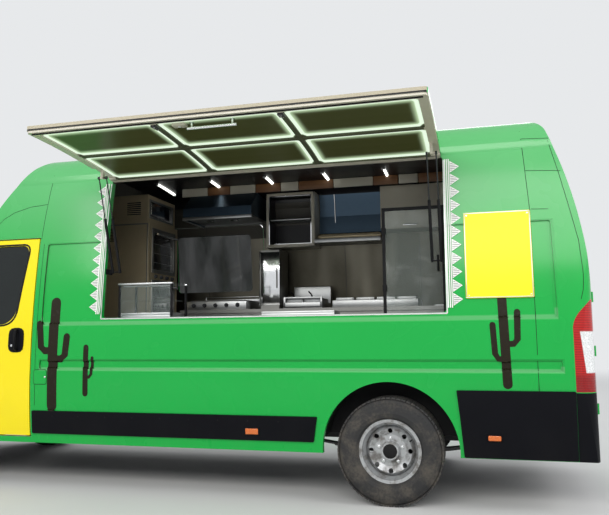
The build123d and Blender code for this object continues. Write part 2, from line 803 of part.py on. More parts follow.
def lid_brackets():
    """A plate and two stub pins between each pair of struts, under the lid."""
    y, z = STRUT_TOP_CLOSED
    plates = []
    for a, b in ((STRUT_X[0], STRUT_X[1]), (STRUT_X[2], STRUT_X[3])):
        inner = (STRUT_EYE_WIDTH / 2 + 2)
        plates.append(block((a + b) / 2 - 10, (a + b) / 2 + 10, -890, y + 9, z - 18, z + 18))
        plates.append(rod_x(a + inner, b - inner, y, z, 7))
    return plates


def hatch_frame():
    ring = cut(BODY[WALL], BODY[WALL + RIB_DEPTH])
    shape = common(ring, along_y(hatch_face(-MOVING_GAP - 4), -1400, -500))
    low, high = STRUT_TOP_CLOSED[1] - 70, STRUT_TOP_CLOSED[1] + 170
    for x0, x1 in ((HATCH_X0, HATCH_X0 + 122), (HATCH_X1 - 122, HATCH_X1)):
        shape = cut(shape, block(x0, x1, -1400, -500, low, high))
    shape = cut(shape, *[cell_zone(cell, 0) for cell in lid_cells()])
    plates = cut(gather(lid_brackets()), common(cut(BODY[0.0], BODY[WALL]), LEFT))
    return opened(fuse(shape, plates))


def hatch_panels():
    ring = cut(BODY[WALL], BODY[WALL + PANEL_DEPTH])
    return opened(gather([common(ring, cell_zone(cell, 1.0)) for cell in lid_cells()]))


def upright_strut(x):
    """Cylinder and rod of one strut, foot at the origin of y and z, pointing along +z."""
    foot = rod_x(x - STRUT_EYE_WIDTH / 2, x + STRUT_EYE_WIDTH / 2, 0, 0, STRUT_EYE_R)
    tube = foot + rod_z(x, 0, 8, STRUT_TUBE, STRUT_R)
    tube = tube - rod_z(x, 0, 30, STRUT_TUBE + 1, ROD_R + RUN_CLEARANCE)
    tube = tube - rod_x(x - STRUT_EYE_WIDTH, x + STRUT_EYE_WIDTH, 0, 0, PIN_R + RUN_CLEARANCE)
    top = STRUT_OPEN_LENGTH
    rod = rod_z(x, 0, top - ROD_LENGTH, top, ROD_R)
    rod = rod + rod_x(x - STRUT_EYE_WIDTH / 2, x + STRUT_EYE_WIDTH / 2, 0, top, STRUT_EYE_R)
    return tube, rod


def placed_strut(shape):
    lean = STRUT_OPEN_ANGLE - 90
    return Pos(0, STRUT_FOOT[0], STRUT_FOOT[1]) * Rot(lean, 0, 0) * shape


def strut_cylinders():
    return gather([placed_strut(upright_strut(x)[0]) for x in STRUT_X])


def strut_rods():
    return gather([placed_strut(upright_strut(x)[1]) for x in STRUT_X])


# Wheels
TYRE_SIDE = TYRE_WIDTH / 2
STUB_R = 32.0


def wheel_ring(points):
    """Revolve a half section given as (radius, width) about the wheel's own axle."""
    face = outline(points[0], *points[1:])
    return revolve(Plane.XY * face, Axis((0, 0, 0), (0, 1, 0)), 360)


def tyre_at(x, y):
    ring = wheel_ring([
        (RIM_R, -78), (RIM_R + 14, -84), (RIM_R + 16, -84), (RIM_R + 16, -91), (235, -TYRE_SIDE + 6), ((295, -TYRE_SIDE - 0), (345, -TYRE_SIDE + 8)),
        (TYRE_R - 2, -TYRE_SIDE + 22), (TYRE_R, 0), (TYRE_R - 2, TYRE_SIDE - 22),
        (345, TYRE_SIDE - 8), ((295, TYRE_SIDE + 0), (235, TYRE_SIDE - 6)),
        (RIM_R + 16, 91), (RIM_R + 16, 84), (RIM_R + 14, 84), (RIM_R, 78),
    ])
    return Pos(x, y, TYRE_R) * ring


DISC_HOLES = 8


def rim_at(x, y):
    """Steel wheel: barrel, dished disc with round holes and a centre bore."""
    out = -1 if y < 0 else 1
    barrel = wheel_ring([(RIM_R, -78), (RIM_R, 78), (RIM_R + 14, 84), (RIM_R + 14, 90), (RIM_R - 8, 88),
                         (RIM_R - 12, 74), (RIM_R - 30, 40), (RIM_R - 30, -40), (RIM_R - 12, -74),
                         (RIM_R - 8, -88), (RIM_R + 14, -90), (RIM_R + 14, -84)])
    face = [(STUB_R + RUN_CLEARANCE, 40 * out), (110, 40 * out), (150, 62 * out), (RIM_R - 29, 20 * out),
            (RIM_R - 29, 8 * out), (146, 46 * out), (114, 26 * out), (STUB_R + RUN_CLEARANCE, 26 * out)]
    disc = wheel_ring(face)
    for i in range(DISC_HOLES):
        hole = Rot(0, i * 360 / DISC_HOLES, 0) * rod_y(138, -120, 120, 0, 17)
        disc = disc - hole
    hub = wheel_ring([(STUB_R + RUN_CLEARANCE, 38 * out), (70, 38 * out), (60, 84 * out), (STUB_R + RUN_CLEARANCE, 84 * out)])
    return Pos(x, y, TYRE_R) * gather(barrel + disc + hub)


# Front axle: crossmember with arms, kingpins, and the knuckles that carry the wheels
KINGPIN_Y = 812.0
KINGPIN_R = 14.0
SPRING_Y = 680.0
KINGPIN_LOW = TYRE_R - 118
KINGPIN_HIGH = TYRE_R + 78


def front_axle():
    x, z = FRONT_AXLE_X, KINGPIN_LOW
    parts = [block(x - 90, x + 90, -430, 430, z - 25, z + 75)]
    for side in (-1, 1):
        arm = rounded([(x - 130, side * 400), (x - 22, side * (KINGPIN_Y + 22)), (x + 22, side * (KINGPIN_Y + 22)),
                       (x + 130, side * 400)])
        parts.append(along_z(arm, z - 12, z + 12))
        parts.append(rod_z(x, side * KINGPIN_Y, z - 12, KINGPIN_HIGH, KINGPIN_R))
        parts.append(block(x - 60, x + 60, side * RAIL_Y - 35, side * RAIL_Y + 35, z - 12, RAIL_BOTTOM))
        parts.append(rod_z(x, side * SPRING_Y, z, TYRE_R + FRONT_ARCH_R - 4, 28))
        parts.append(rod_z(x, side * SPRING_Y, 560, 790, 52))
    return fuse(*parts)


def knuckle():
    """Serving-side knuckle: sleeve on the kingpin and the stub that carries the wheel."""
    x = FRONT_AXLE_X
    sleeve = rod_z(x, -KINGPIN_Y, KINGPIN_LOW + 14, KINGPIN_HIGH, 30)
    stub = rod_y(x, -TRACK_HALF - 78, -KINGPIN_Y - 10, TYRE_R, STUB_R)
    flange = rod_y(x, -TRACK_HALF + 24, -KINGPIN_Y - 10, TYRE_R, 70)
    web = block(x - 40, x + 40, -KINGPIN_Y - 40, -KINGPIN_Y + 10, TYRE_R - 60, TYRE_R + 60)
    shape = fuse(sleeve, stub, flange, web)
    return cut(shape, rod_z(x, -KINGPIN_Y, 0, KINGPIN_HIGH + 50, KINGPIN_R + RUN_CLEARANCE))


# Rear axle with leaf springs
LEAF_Y = 560.0
RAIL_Y = 470.0
RAIL_BOTTOM = 385.0
CROSSMEMBER_X = (360.0, 720.0, 1500.0, 2300.0, 3300.0, 4150.0, 5750.0, 6250.0)
CROSSMEMBER_BOTTOM = 405.0


def rear_axle():
    x = REAR_AXLE_X
    parts = [
        rod_y(x, -TRACK_HALF + 24, TRACK_HALF - 24, TYRE_R, 45),
        Pos(x, 0, TYRE_R) * Sphere(112),
        rod_y(x, -TRACK_HALF - 78, TRACK_HALF + 78, TYRE_R, STUB_R),
    ]
    for side in (-1, 1):
        y = side * LEAF_Y
        parts.append(block(x - 70, x + 70, y - 45, y + 45, TYRE_R - 75, TYRE_R + 30))
        for i, half in enumerate((700, 480, 260)):
            leaf = outline((x - half, TYRE_R - 20 - 14 * i + (0 if i else 30)),
                           ((x, TYRE_R - 60 - 14 * i), (x + half, TYRE_R - 20 - 14 * i + (0 if i else 30))),
                           (x + half, TYRE_R - 6 - 14 * i + (0 if i else 30)),
                           ((x, TYRE_R - 46 - 14 * i), (x - half, TYRE_R - 6 - 14 * i + (0 if i else 30))))
            parts.append(along_y(leaf, y - 35, y + 35))
        for end in (-700, 700):
            parts.append(block(x + end - 20, x + end + 20, y - 45, y + 45, TYRE_R + 5, FLOOR_TOP - FLOOR_THICKNESS))
    return fuse(*parts)


# Chassis, floor and wheel arches
LINER = 8.0
LINER_INNER_Y = 760.0
FRONT_LINER_INNER_Y = 570.0


def chassis_frame():
    """Two rails, arched over the rear axle, and crossmembers."""
    top = FLOOR_TOP - FLOOR_THICKNESS
    parts = [block(330, 6290, side * RAIL_Y - 35, side * RAIL_Y + 35, RAIL_BOTTOM, top) for side in (-1, 1)]
    for x in CROSSMEMBER_X:
        parts.append(block(x - 30, x + 30, -RAIL_Y, RAIL_Y, CROSSMEMBER_BOTTOM, top))
    axle_room = block(REAR_AXLE_X - 120, REAR_AXLE_X + 120, -900, 900, 0, TYRE_R + 70)
    holes = []
    for side in (-1, 1):
        y = side * RAIL_Y
        parts += [block(x - 40, x + 40, y - 30, y + 30, JACK_PAD_Z, RAIL_BOTTOM) for x in JACK_PAD_X]
        holes += [rod_z(x, y, RAIL_BOTTOM - 1, RAIL_BOTTOM + TOW_BAR_HOLE_DEPTH, TOW_BAR_HOLE_R) for x in TOW_BAR_X]
    return cut(fuse(*parts), axle_room, *holes)


def wheel_housings():
    """Space taken by the wheel arches inside the body."""
    return gather([
        rod_y(REAR_AXLE_X, LINER_INNER_Y - LINER, 1400, TYRE_R, REAR_ARCH_R + LINER),
        rod_y(REAR_AXLE_X, -1400, -LINER_INNER_Y + LINER, TYRE_R, REAR_ARCH_R + LINER),
        rod_y(FRONT_AXLE_X, FRONT_LINER_INNER_Y - LINER, 1400, TYRE_R, FRONT_ARCH_R + LINER),
        rod_y(FRONT_AXLE_X, -1400, -FRONT_LINER_INNER_Y + LINER, TYRE_R, FRONT_ARCH_R + LINER),
    ])


def floor_pan():
    z0, z1 = FLOOR_TOP - FLOOR_THICKNESS, FLOOR_TOP
    pan = common(BODY[WALL], block(1300, 6230, -1400, 1400, z0, z1))
    firewall = common(BODY[WALL], block(1030, 1060, -1400, 1400, 640, 1290))
    toe = common(BODY[WALL], along_y(rounded([(1030, 640), (1060, 640), (1330, z1), (1330, z0), (1290, z0)]), -1400, 1400))
    ledge = common(BODY[WALL], along_y(rounded([(760, 1262), (1060, 1262), (1060, 1290), (760, 1290)]), -1400, 1400))
    return cut(fuse(pan, firewall, toe, ledge), wheel_housings())


def wheel_arch_liners():
    parts = []
    for x, radius, inner in ((REAR_AXLE_X, REAR_ARCH_R, LINER_INNER_Y), (FRONT_AXLE_X, FRONT_ARCH_R, FRONT_LINER_INNER_Y)):
        for side in (-1, 1):
            y0, y1 = sorted((side * inner, side * 1400))
            ring = rod_y(x, y0, y1, TYRE_R, radius + LINER) - rod_y(x, y0, y1, TYRE_R, radius)
            w0, w1 = sorted((side * (inner - LINER), side * inner))
            wall = rod_y(x, w0, w1, TYRE_R, radius + LINER)
            keep = block(x - 600, x + 600, -1400, 1400, FLOOR_TOP - 75, 2000)
            part = common(fuse(ring, wall), keep, BODY[WALL])
            parts.append(part)
    return gather(parts)


# Under the bonnet and under the floor
def engine_block():
    return block(330, 900, -260, 260, FLOOR_TOP - FLOOR_THICKNESS, 1010)


def exhaust():
    z = 340.0
    y = 230.0
    pipe = rod_x(1300, 4640, y, z, 30)
    silencer = rod_x(2450, 3150, y, z, 95)
    hangers = [block(x - 8, x + 8, y - 12, y + 12, z, CROSSMEMBER_BOTTOM) for x in (1500, 4150)]
    return fuse(pipe, silencer, *hangers)


# Cab inside
BULKHEAD_X = 2170.0


def bulkhead():
    return common(BODY[WALL], block(BULKHEAD_X, BULKHEAD_X + 30, -1400, 1400, FLOOR_TOP, 3000))


def dashboard():
    face = outline((1062, 800), (1062, 1289), ((1180, 1285), (1330, 1190)), ((1370, 1120), (1340, 1040)), (1290, 800))
    return cut(common(BODY[WALL + RIB_DEPTH], along_y(face, -925, 925)), wheel_housings())


def steering_wheel():
    ring = Torus(205, 14)
    spokes = Box(400, 34, 16) + Cylinder(62, 30)
    column = Pos(0, 0, -150) * Cylinder(22, 300)
    placed = Pos(1480, -430, 1180) * Rot(0, 35, 0) * gather(ring + spokes + column)
    return cut(placed, dashboard())


SEAT_X = 1620.0


def cab_seats():
    seats = []
    for y, half in ((-480, 255), (430, 480)):
        base = block(SEAT_X - 220, SEAT_X + 240, y - half + 40, y + half - 40, FLOOR_TOP, 840)
        cushion = fillet(block(SEAT_X - 270, SEAT_X + 230, y - half, y + half, 820, 960).edges(), 35)
        back = rounded([(SEAT_X + 150, 900), (SEAT_X + 270, 900), (SEAT_X + 420, 1560), (SEAT_X + 320, 1560)], 30)
        back = along_y(back, y - half + 10, y + half - 10)
        heads = [y] if half < 300 else [y - 240, y + 240]
        rest = [fillet(block(SEAT_X + 345, SEAT_X + 440, h - 120, h + 120, 1540, 1720).edges(), 30) for h in heads]
        seats.append(fuse(base, cushion, back, *rest))
    return gather(seats)


# Kitchen
COUNTER_FRONT_Y = -560.0
COUNTER_TOP = HATCH_Z0 - 6.0


def serving_counter():
    inside = BODY[WALL]
    carcass = block(2560, 5850, -1400, COUNTER_FRONT_Y - 20, FLOOR_TOP, COUNTER_TOP - 34)
    top = block(2550, 5860, -1400, COUNTER_FRONT_Y, COUNTER_TOP - 34, COUNTER_TOP)
    toe = block(2500, 5900, COUNTER_FRONT_Y - 90, COUNTER_FRONT_Y, FLOOR_TOP, FLOOR_TOP + 110)
    shape = common(fuse(carcass, top), inside)
    return cut(shape, toe, wheel_housings())


RANGE_FRONT_Y = 350.0
RANGE_TOP = 1430.0


def back_counter():
    carcass = block(2760, 5850, RANGE_FRONT_Y + 20, 1400, FLOOR_TOP, RANGE_TOP - 34)
    top = block(2750, 5860, RANGE_FRONT_Y, 1400, RANGE_TOP - 34, RANGE_TOP)
    toe = block(2700, 5900, RANGE_FRONT_Y, RANGE_FRONT_Y + 90, FLOOR_TOP, FLOOR_TOP + 110)
    shape = common(fuse(carcass, top), BODY[WALL])
    return fuse(cut(shape, toe, wheel_housings()), hot_cabinet())


HOT_CABINET_X = (3500.0, 3720.0)
HOT_CABINET_Y = (560.0, 860.0)
HOT_CABINET_TOP = 2020.0


def hot_cabinet():
    """The upright steel box that stands on the counter."""
    x0, x1 = HOT_CABINET_X
    y0, y1 = HOT_CABINET_Y
    return fillet(block(x0, x1, y0, y1, RANGE_TOP, HOT_CABINET_TOP).edges().filter_by(Axis.Z), 25)


def oven_tower():
    x0, x1, y0, y1 = BULKHEAD_X + 30, 2720.0, -250.0, 330.0
    body = block(x0, x1, y0, y1, FLOOR_TOP, 2230)
    for z0, z1 in ((700, 1180), (1240, 1700), (1760, 2180)):
        body = body - block(x1 - 12, x1 + 5, y0 + 50, y1 - 50, z0, z1)
    box = block(x0, x1 - 20, y0, y1 - 20, 2230.0, 2480)
    box = box - block(x1 - 32, x1, y0 + 30, y1 - 60, 2265, 2445)
    return fuse(body, box)


def extractor_hood():
    face = rounded([(330, 2330), (905, 2330), (905, 2560), (520, 2600), (330, 2440)])
    shape = along_x(face, 2780, 3500)
    inner = rounded([(345, 2320), (890, 2320), (890, 2360), (345, 2360)])
    return common(cut(shape, along_x(inner, 2795, 3485)), BODY[WALL])


def wall_units():
    inside = BODY[WALL]
    cabinet = block(3560, 4060, 620, 1400, 2050, 2600) - block(3590, 4030, 600, 860, 2080, 2570)
    splash = block(4062, 4720, 840, 1400, 2200, 2620)
    shelf = block(4062, 4720, 600, 1400, 2080, 2110)
    cupboard = block(4722, 5850, 600, 1400, 2180, 2600)
    return common(fuse(cabinet, splash, shelf, cupboard), inside)


LAMP_X = (2510.0, 3080.0, 3652.0, 4224.0, 4802.0)
LAMP_Y = (290.0, 690.0)
LAMP_HALF_WIDTH = 13.0


def ceiling_lamps():
    """Light bars across the kitchen's ceiling, which follow its curve."""
    lining = cut(BODY[WALL], BODY[WALL + RIB_DEPTH])
    y0, y1 = LAMP_Y
    return gather([common(lining, block(x - LAMP_HALF_WIDTH, x + LAMP_HALF_WIDTH, y0, y1, 2500, 2800)) for x in LAMP_X])


SCREEN_Y = -765.0


def screen_frame():
    """Black bars around the glass beside the serving place, and the case at the other end."""
    z0, z1 = COUNTER_TOP, 2130.0
    x0, x1 = 4930.0, 5392.0
    bars = [
        block(x0, x0 + 22, SCREEN_Y - 11, SCREEN_Y + 11, z0, z1),
        block(x1 - 22, x1, SCREEN_Y - 11, SCREEN_Y + 11, z0, z1),
        block(x0, x1, SCREEN_Y - 11, SCREEN_Y + 11, z1 - 22, z1),
        block(x0, x1, SCREEN_Y - 11, SCREEN_Y + 11, z0, z0 + 12),
    ]
    case = [block(x - 8, x + 8, y - 8, y + 8, z0, 1600) for x in (2790, 3250) for y in (-868, -600)]
    return gather([fuse(*bars), *case])


def screen_glass():
    z0, z1 = COUNTER_TOP + 12, 2108.0
    pane = block(4952, 5370, SCREEN_Y - 3, SCREEN_Y + 3, z0, z1)
    shelf = block(2780, 3260, -880, -590, 1600, 1608)
    front = block(2798, 3242, -873, -867, COUNTER_TOP, 1600)
    return gather([pane, fuse(shelf, front)])


def build():
    door = cab_door()
    glass = cab_door_glass()
    mirror_part = mirror_set()
    rear = rear_door()
    rear_pane = rear_door_glass()
    steered = knuckle()
    nodes = {
        "floor_pan": floor_pan(),
        "chassis_frame": chassis_frame(),
        "cab_shell": cab_shell(),
        "side_left": side_left(),
        "side_right": side_right(),
        "sliding_door": sliding_door(),
        "kitchen_window": kitchen_window(),
        "roof": roof(),
        "rear_frame": rear_frame(),
        "front_bumper": front_bumper(),
        "grille": grille(),
        "headlamps": headlamps(),
        "windscreen": windscreen(),
        "tail_lamps": tail_lamps(),
        "rear_bumper": rear_bumper(),
        "side_mouldings": side_mouldings(),
        "menu_board": menu_board(),
        "wheel_arch_liners": wheel_arch_liners(),
        "front_axle": front_axle(),
        "rear_axle": rear_axle(),
        "engine_block": engine_block(),
        "exhaust": exhaust(),
        "bulkhead": bulkhead(),
        "dashboard": dashboard(),
        "steering_wheel": steering_wheel(),
        "cab_seats": cab_seats(),
        "serving_counter": serving_counter(),
        "back_counter": back_counter(),
        "oven_tower": oven_tower(),
        "extractor_hood": extractor_hood(),
        "wall_units": wall_units(),
        "ceiling_lamps": ceiling_lamps(),
        "screen_frame": screen_frame(),
        "screen_glass": screen_glass(),
        "bonnet": bonnet(),
        "cab_door_left": door,
        "cab_door_right": mirrored(door),
        "door_glass_left": glass,
        "door_glass_right": mirrored(glass),
        "mirror_left": mirror_part,
        "mirror_right": mirrored(mirror_part),
        "rear_door_left": rear,
        "rear_door_right": mirrored(rear),
        "rear_glass_left": rear_pane,
        "rear_glass_right": mirrored(rear_pane),
        "hatch_lid": hatch_lid(),
        "hatch_frame": hatch_frame(),
        "hatch_panels": hatch_panels(),
        "strut_cylinders": strut_cylinders(),
        "strut_rods": strut_rods(),
        "knuckle_left": steered,
        "knuckle_right": mirrored(steered),
    }
    for name, x, side in (("front_left", FRONT_AXLE_X, -1), ("front_right", FRONT_AXLE_X, 1),
                          ("rear_left", REAR_AXLE_X, -1), ("rear_right", REAR_AXLE_X, 1)):
        nodes["tyre_" + name] = tyre_at(x, side * TRACK_HALF)
        nodes["rim_" + name] = rim_at(x, side * TRACK_HALF)
    return nodes


def footprint_centre(nodes):
    """Middle of the whole part's box, seen from above."""
    boxes = [gather(shape).bounding_box() for shape in nodes.values()]
    x = (min(b.min.X for b in boxes) + max(b.max.X for b in boxes)) / 2
    y = (min(b.min.Y for b in boxes) + max(b.max.Y for b in boxes)) / 2
    return x, y


def main():
    os.makedirs("parts", exist_ok=True)
    nodes = build()
    x, y = footprint_centre(nodes)
    for name, shape in nodes.items():
        export_step(Pos(-x, -y, 0) * gather(shape), f"parts/{name}.step")


if __name__ == "__main__":
    main()
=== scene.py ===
import math

import bmesh
import bpy
from mathutils import Matrix, Vector
from mathutils.bvhtree import BVHTree


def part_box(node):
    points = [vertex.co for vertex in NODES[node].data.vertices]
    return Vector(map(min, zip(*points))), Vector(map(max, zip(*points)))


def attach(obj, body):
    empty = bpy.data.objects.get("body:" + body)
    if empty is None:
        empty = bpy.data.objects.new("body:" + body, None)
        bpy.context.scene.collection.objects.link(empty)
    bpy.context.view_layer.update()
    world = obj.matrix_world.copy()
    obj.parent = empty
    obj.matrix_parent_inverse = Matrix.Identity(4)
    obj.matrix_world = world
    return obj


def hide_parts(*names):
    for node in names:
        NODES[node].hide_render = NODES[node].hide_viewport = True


bl_info = {
    "name": "Food Truck Dressing",
    "version": (1, 0, 0),
    "blender": (4, 5, 0),
    "location": "View3D > Sidebar > Food Truck",
    "description": "Paint, trim, kitchen fittings and running gear for the packed food truck",
    "category": "Object",
}

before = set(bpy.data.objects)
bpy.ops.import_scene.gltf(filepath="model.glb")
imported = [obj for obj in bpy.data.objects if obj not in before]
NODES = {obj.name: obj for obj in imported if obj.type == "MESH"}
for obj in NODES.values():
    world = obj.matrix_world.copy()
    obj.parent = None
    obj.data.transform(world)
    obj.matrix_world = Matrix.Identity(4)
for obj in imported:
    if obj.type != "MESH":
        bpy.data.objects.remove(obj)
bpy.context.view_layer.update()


# The van's own axes: x from the nose, y from the centreline, z from the ground, in metres
def middle(node):
    low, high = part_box(node)
    return (low + high) / 2


FRONT_AXLE_X = 0.948
ORIGIN = Vector((
    FRONT_AXLE_X - middle("tyre_front_left").x,
    -(middle("tyre_rear_left").y + middle("tyre_rear_right").y) / 2,
    0.0,
))
WHEELS = {
    "front_left": "wheel_fl",
    "front_right": "wheel_fr",
    "rear_left": "wheel_rl",
    "rear_right": "wheel_rr",
}
TYRE_R = 0.372
SIDES = (-1, 1)
HATCH_X = (2.710, 5.400)
HATCH_Z = (1.330, 2.470)
HINGE = Vector((0.0, -0.857, 2.491))
INSIDE_Z = 1.600  # a height in the kitchen from which rays look up at the roof and the open hatch


def van(x, y, z):
    """A point given in the van's axes, in the row frame."""
    return Vector((x, y, z)) - ORIGIN


def tree_of(*names):
    """A search tree over some CAD nodes, for laying things on them."""
    points, faces = [], []
    for name in names:
        mesh = NODES[name].data
        start = len(points)
        points += [v.co.copy() for v in mesh.vertices]
        faces += [[start + i for i in p.vertices] for p in mesh.polygons]
    return BVHTree.FromPolygons(points, faces)


TREES = {}


def touch(point, direction, *names):
    """Where a line from a point in the van's axes first meets those nodes, and the surface's normal."""
    if names not in TREES:
        TREES[names] = tree_of(*names)
    hit, normal, _, _ = TREES[names].ray_cast(van(*point), Vector(direction).normalized())
    if hit is None:
        raise RuntimeError(f"nothing of {names} lies along {tuple(direction)} from {tuple(point)}")
    if normal.dot(Vector(direction)) > 0:
        normal = -normal
    return hit + ORIGIN, normal


def skin(x, z, side, *names):
    """The outermost point of a side wall at that x and z."""
    return touch((x, side * 3.0, z), (0, -side, 0), *names)


# Shader maths
def operator(operation, reflected=False):
    """A method that adds a Math node for an arithmetic sign, with its values swapped in the reflected form."""
    def apply(self, other):
        return self.maths(operation, *((other, self) if reflected else (self, other)))
    return apply


class Field:
    """One output in a material's node tree. Arithmetic on it adds Math nodes."""
    __add__, __radd__ = operator("ADD"), operator("ADD", True)
    __sub__, __rsub__ = operator("SUBTRACT"), operator("SUBTRACT", True)
    __mul__, __rmul__ = operator("MULTIPLY"), operator("MULTIPLY", True)
    __truediv__, __rtruediv__ = operator("DIVIDE"), operator("DIVIDE", True)
    __pow__ = operator("POWER")

    def __init__(self, finish, socket):
        self.finish = finish
        self.socket = socket

    def maths(self, operation, *values):
        return self.finish.node("ShaderNodeMath", {"operation": operation}, values)

    def __abs__(self):
        return self.maths("ABSOLUTE", self)

    def rise(self, low, high):
        """0 below low, 1 above high, and smooth between."""
        settings = {"interpolation_type": "SMOOTHSTEP"}
        return self.finish.node("ShaderNodeMapRange", settings, {"Value": self, "From Min": low, "From Max": high})

    def fall(self, low, high):
        return 1 - self.rise(low, high)

    def saw(self, period):
        """Distance from the middle of each period, 0 to half a period."""
        return abs(self.maths("FLOORED_MODULO", self, period) - period / 2)

    def least(self, other):
        return self.maths("MINIMUM", self, other)

    def most(self, other):
        return self.maths("MAXIMUM", self, other)


class Finish:
    """A material being built on one Principled shader."""

    def __init__(self, name, **settings):
        self.material = bpy.data.materials.new(name)
        self.material.use_nodes = True
        self.tree = self.material.node_tree
        self.shader = self.tree.nodes["Principled BSDF"]
        coordinates = self.tree.nodes.new("ShaderNodeTexCoord")
        self.place = Field(self, coordinates.outputs["Object"])
        self.sheet = Field(self, coordinates.outputs["UV"])
        for socket, value in settings.items():
            self.set(socket.replace("_", " ").title().replace("Ior", "IOR"), value)

    def node(self, kind, settings=None, values=(), output=0):
        """Adds a node: its settings first, then the values or links of its sockets."""
        node = self.tree.nodes.new(kind)
        for name, value in (settings or {}).items():
            setattr(node, name, value)
        pairs = values.items() if isinstance(values, dict) else enumerate(values)
        for key, value in pairs:
            if isinstance(value, Field):
                self.tree.links.new(value.socket, node.inputs[key])
            else:
                node.inputs[key].default_value = value
        return Field(self, node.outputs[output])

    def set(self, socket, value):
        target = self.shader.inputs[socket]
        if isinstance(value, Field):
            self.tree.links.new(value.socket, target)
        elif isinstance(value, tuple) and len(value) == 3 and target.type == "RGBA":
            target.default_value = (*value, 1.0)
        else:
            target.default_value = value

    def surface(self, colour, roughness):
        self.set("Base Color", colour)
        self.set("Roughness", roughness)

    def axis(self, letter, field=None):
        """One coordinate of a place, in metres."""
        return self.node("ShaderNodeSeparateXYZ", None, {0: field or self.place}, "XYZ".index(letter))

    def stretched(self, x, y, z):
        return self.node("ShaderNodeMapping", None, {"Vector": self.place, "Scale": (x, y, z)})

    def noise(self, scale, detail=3.0, roughness=0.5, where=None, distortion=0.0):
        values = {"Vector": where or self.place, "Scale": scale, "Detail": detail, "Roughness": roughness,
                  "Distortion": distortion}
        return self.node("ShaderNodeTexNoise", None, values)

    def cells(self, scale):
        return self.node("ShaderNodeTexVoronoi", None, {"Vector": self.place, "Scale": scale})

    def mix(self, first, second, share):
        """A colour between two, given as triples or fields."""
        def full(c):
            return c if isinstance(c, Field) else (*c, 1.0)
        values = {0: share, 6: full(first), 7: full(second)}
        return self.node("ShaderNodeMix", {"data_type": "RGBA", "clamp_factor": True}, values, 2)

    def tinted(self, colour, amount, field):
        """The colour, lighter and darker by that share as the field goes from 0 to 1."""
        dark = tuple(c * (1 - amount) for c in colour)
        light = tuple(min(1.0, c * (1 + amount)) for c in colour)
        return self.mix(dark, light, field)

    def bump(self, height, distance, strength=1.0):
        values = {"Height": height, "Distance": distance, "Strength": strength}
        self.set("Normal", self.node("ShaderNodeBump", None, values))


FINISHES = {}
RECIPES = {}


def recipe(**sockets):
    """Marks a function that fills the finish of its own name; the values go to the shader's sockets."""
    def keep(fill):
        RECIPES[fill.__name__] = fill, sockets
        return fill
    return keep


def finish(name):
    if name not in FINISHES:
        fill, sockets = RECIPES[name]
        made = Finish(name, **sockets)
        fill(made)
        FINISHES[name] = made.material
    return FINISHES[name]


def dusted(made, colour, low=0.15, high=0.65, amount=0.25, dust=(0.20, 0.17, 0.13)):
    """The colour with road dust that thins out upwards, in soft uneven streaks."""
    streaks = made.noise(6.0, 5.0, 0.6, made.stretched(1.0, 1.0, 0.18))
    patches = made.noise(2.3, 4.0)
    height = made.axis("Z").fall(low, high)
    share = height * (streaks * 0.7 + patches * 0.6 - 0.25).rise(0.25, 0.85) * amount
    return made.mix(colour, dust, share), share


# The side's two pressings, as x and z from and to, in the van's axes
SIDE_PANEL = (2.170, 6.118, 1.290, 1.950)
SWAGE = (2.170, 6.140, 0.930, 1.000)


def pressed(made):
    """How far the paint is sunk, 0 to 1, with sloping sides round the side panel and the swage under it."""
    x, z = made.axis("X") + ORIGIN.x, made.axis("Z")
    def sunk(x0, x1, z0, z1, ledge):
        ends = ((x - x0) / 0.016).least((x1 - x) / 0.030)
        return ends.least(((z - z0) / ledge).least((z1 - z) / 0.020)).most(-0.5).least(0.5) + 0.5
    return sunk(*SIDE_PANEL, 0.042).most(sunk(*SWAGE, 0.034))


def paint(made, colour, relief=False):
    """Gloss paint under a clear coat, with faint waviness and dust low down; the body's is painted lighter towards the
    roof and along the lower ledges of its pressings, as painted highlights.
    """
    base = made.tinted(colour, 0.06, made.noise(1.4, 3.0))
    if relief:
        # Painted highlight: a lighter body colour towards the roof, standing in for light from the sky.
        painted_highlight = tuple(c * 0.86 + 0.13 for c in colour)
        height = made.axis("Z")
        base = made.mix(base, painted_highlight, (height + made.noise(0.8, 2.0) * 0.5).rise(1.7, 3.0) * 0.8)
        sunk = pressed(made)
        # Painted highlight along the lower ledges of the side panel and the swage.
        highlight_ledges = height.fall(0.955, 0.965) + height.rise(1.22, 1.24) * height.fall(1.34, 1.36)
        base = made.mix(base, painted_highlight, (0.5 - abs(sunk - 0.5)).rise(0.0, 0.3) * highlight_ledges * 0.6)
    base, dust = dusted(made, base, amount=0.12)
    made.surface(base, dust * 0.5 + 0.24 + made.noise(3.0, 2.0) * 0.06)
    if relief:
        made.set("Coat Weight", 0.7 - dust * 0.5 - height.rise(2.58, 2.72) * 0.5)
        made.bump(1 - sunk, 0.0125, 1.0)
    else:
        made.set("Coat Weight", 0.7 - dust * 0.5)
        made.bump(made.noise(90.0, 1.0), 0.0002, 0.05)


def moulded(made, colour, rough, grain=900.0, dust=0.0):
    """Plastic with a fine moulded grain."""
    base = made.tinted(colour, 0.18, made.noise(5.0, 4.0))
    base, share = dusted(made, base, 0.1, 0.7, dust, (0.16, 0.14, 0.11))
    made.surface(base, share * 0.3 + rough + made.noise(30.0, 3.0) * 0.08)
    made.bump(made.cells(grain), 0.0004, 0.45)


def brushed(made, colour, rough, along="Z", smear=0.12):
    """Sheet steel brushed along one axis, with wipe marks and a few finger smears."""
    scale = (3.0, 900.0, 900.0) if along == "X" else (900.0, 900.0, 3.0)
    lines = made.noise(1.0, 2.0, 0.6, made.stretched(*scale))
    smears = made.noise(7.0, 5.0, 0.65, distortion=1.2)
    made.surface(made.tinted(colour, 0.10, smears), rough + lines * 0.12 + smears * smear)
    made.bump(lines, 0.0001, 0.25)


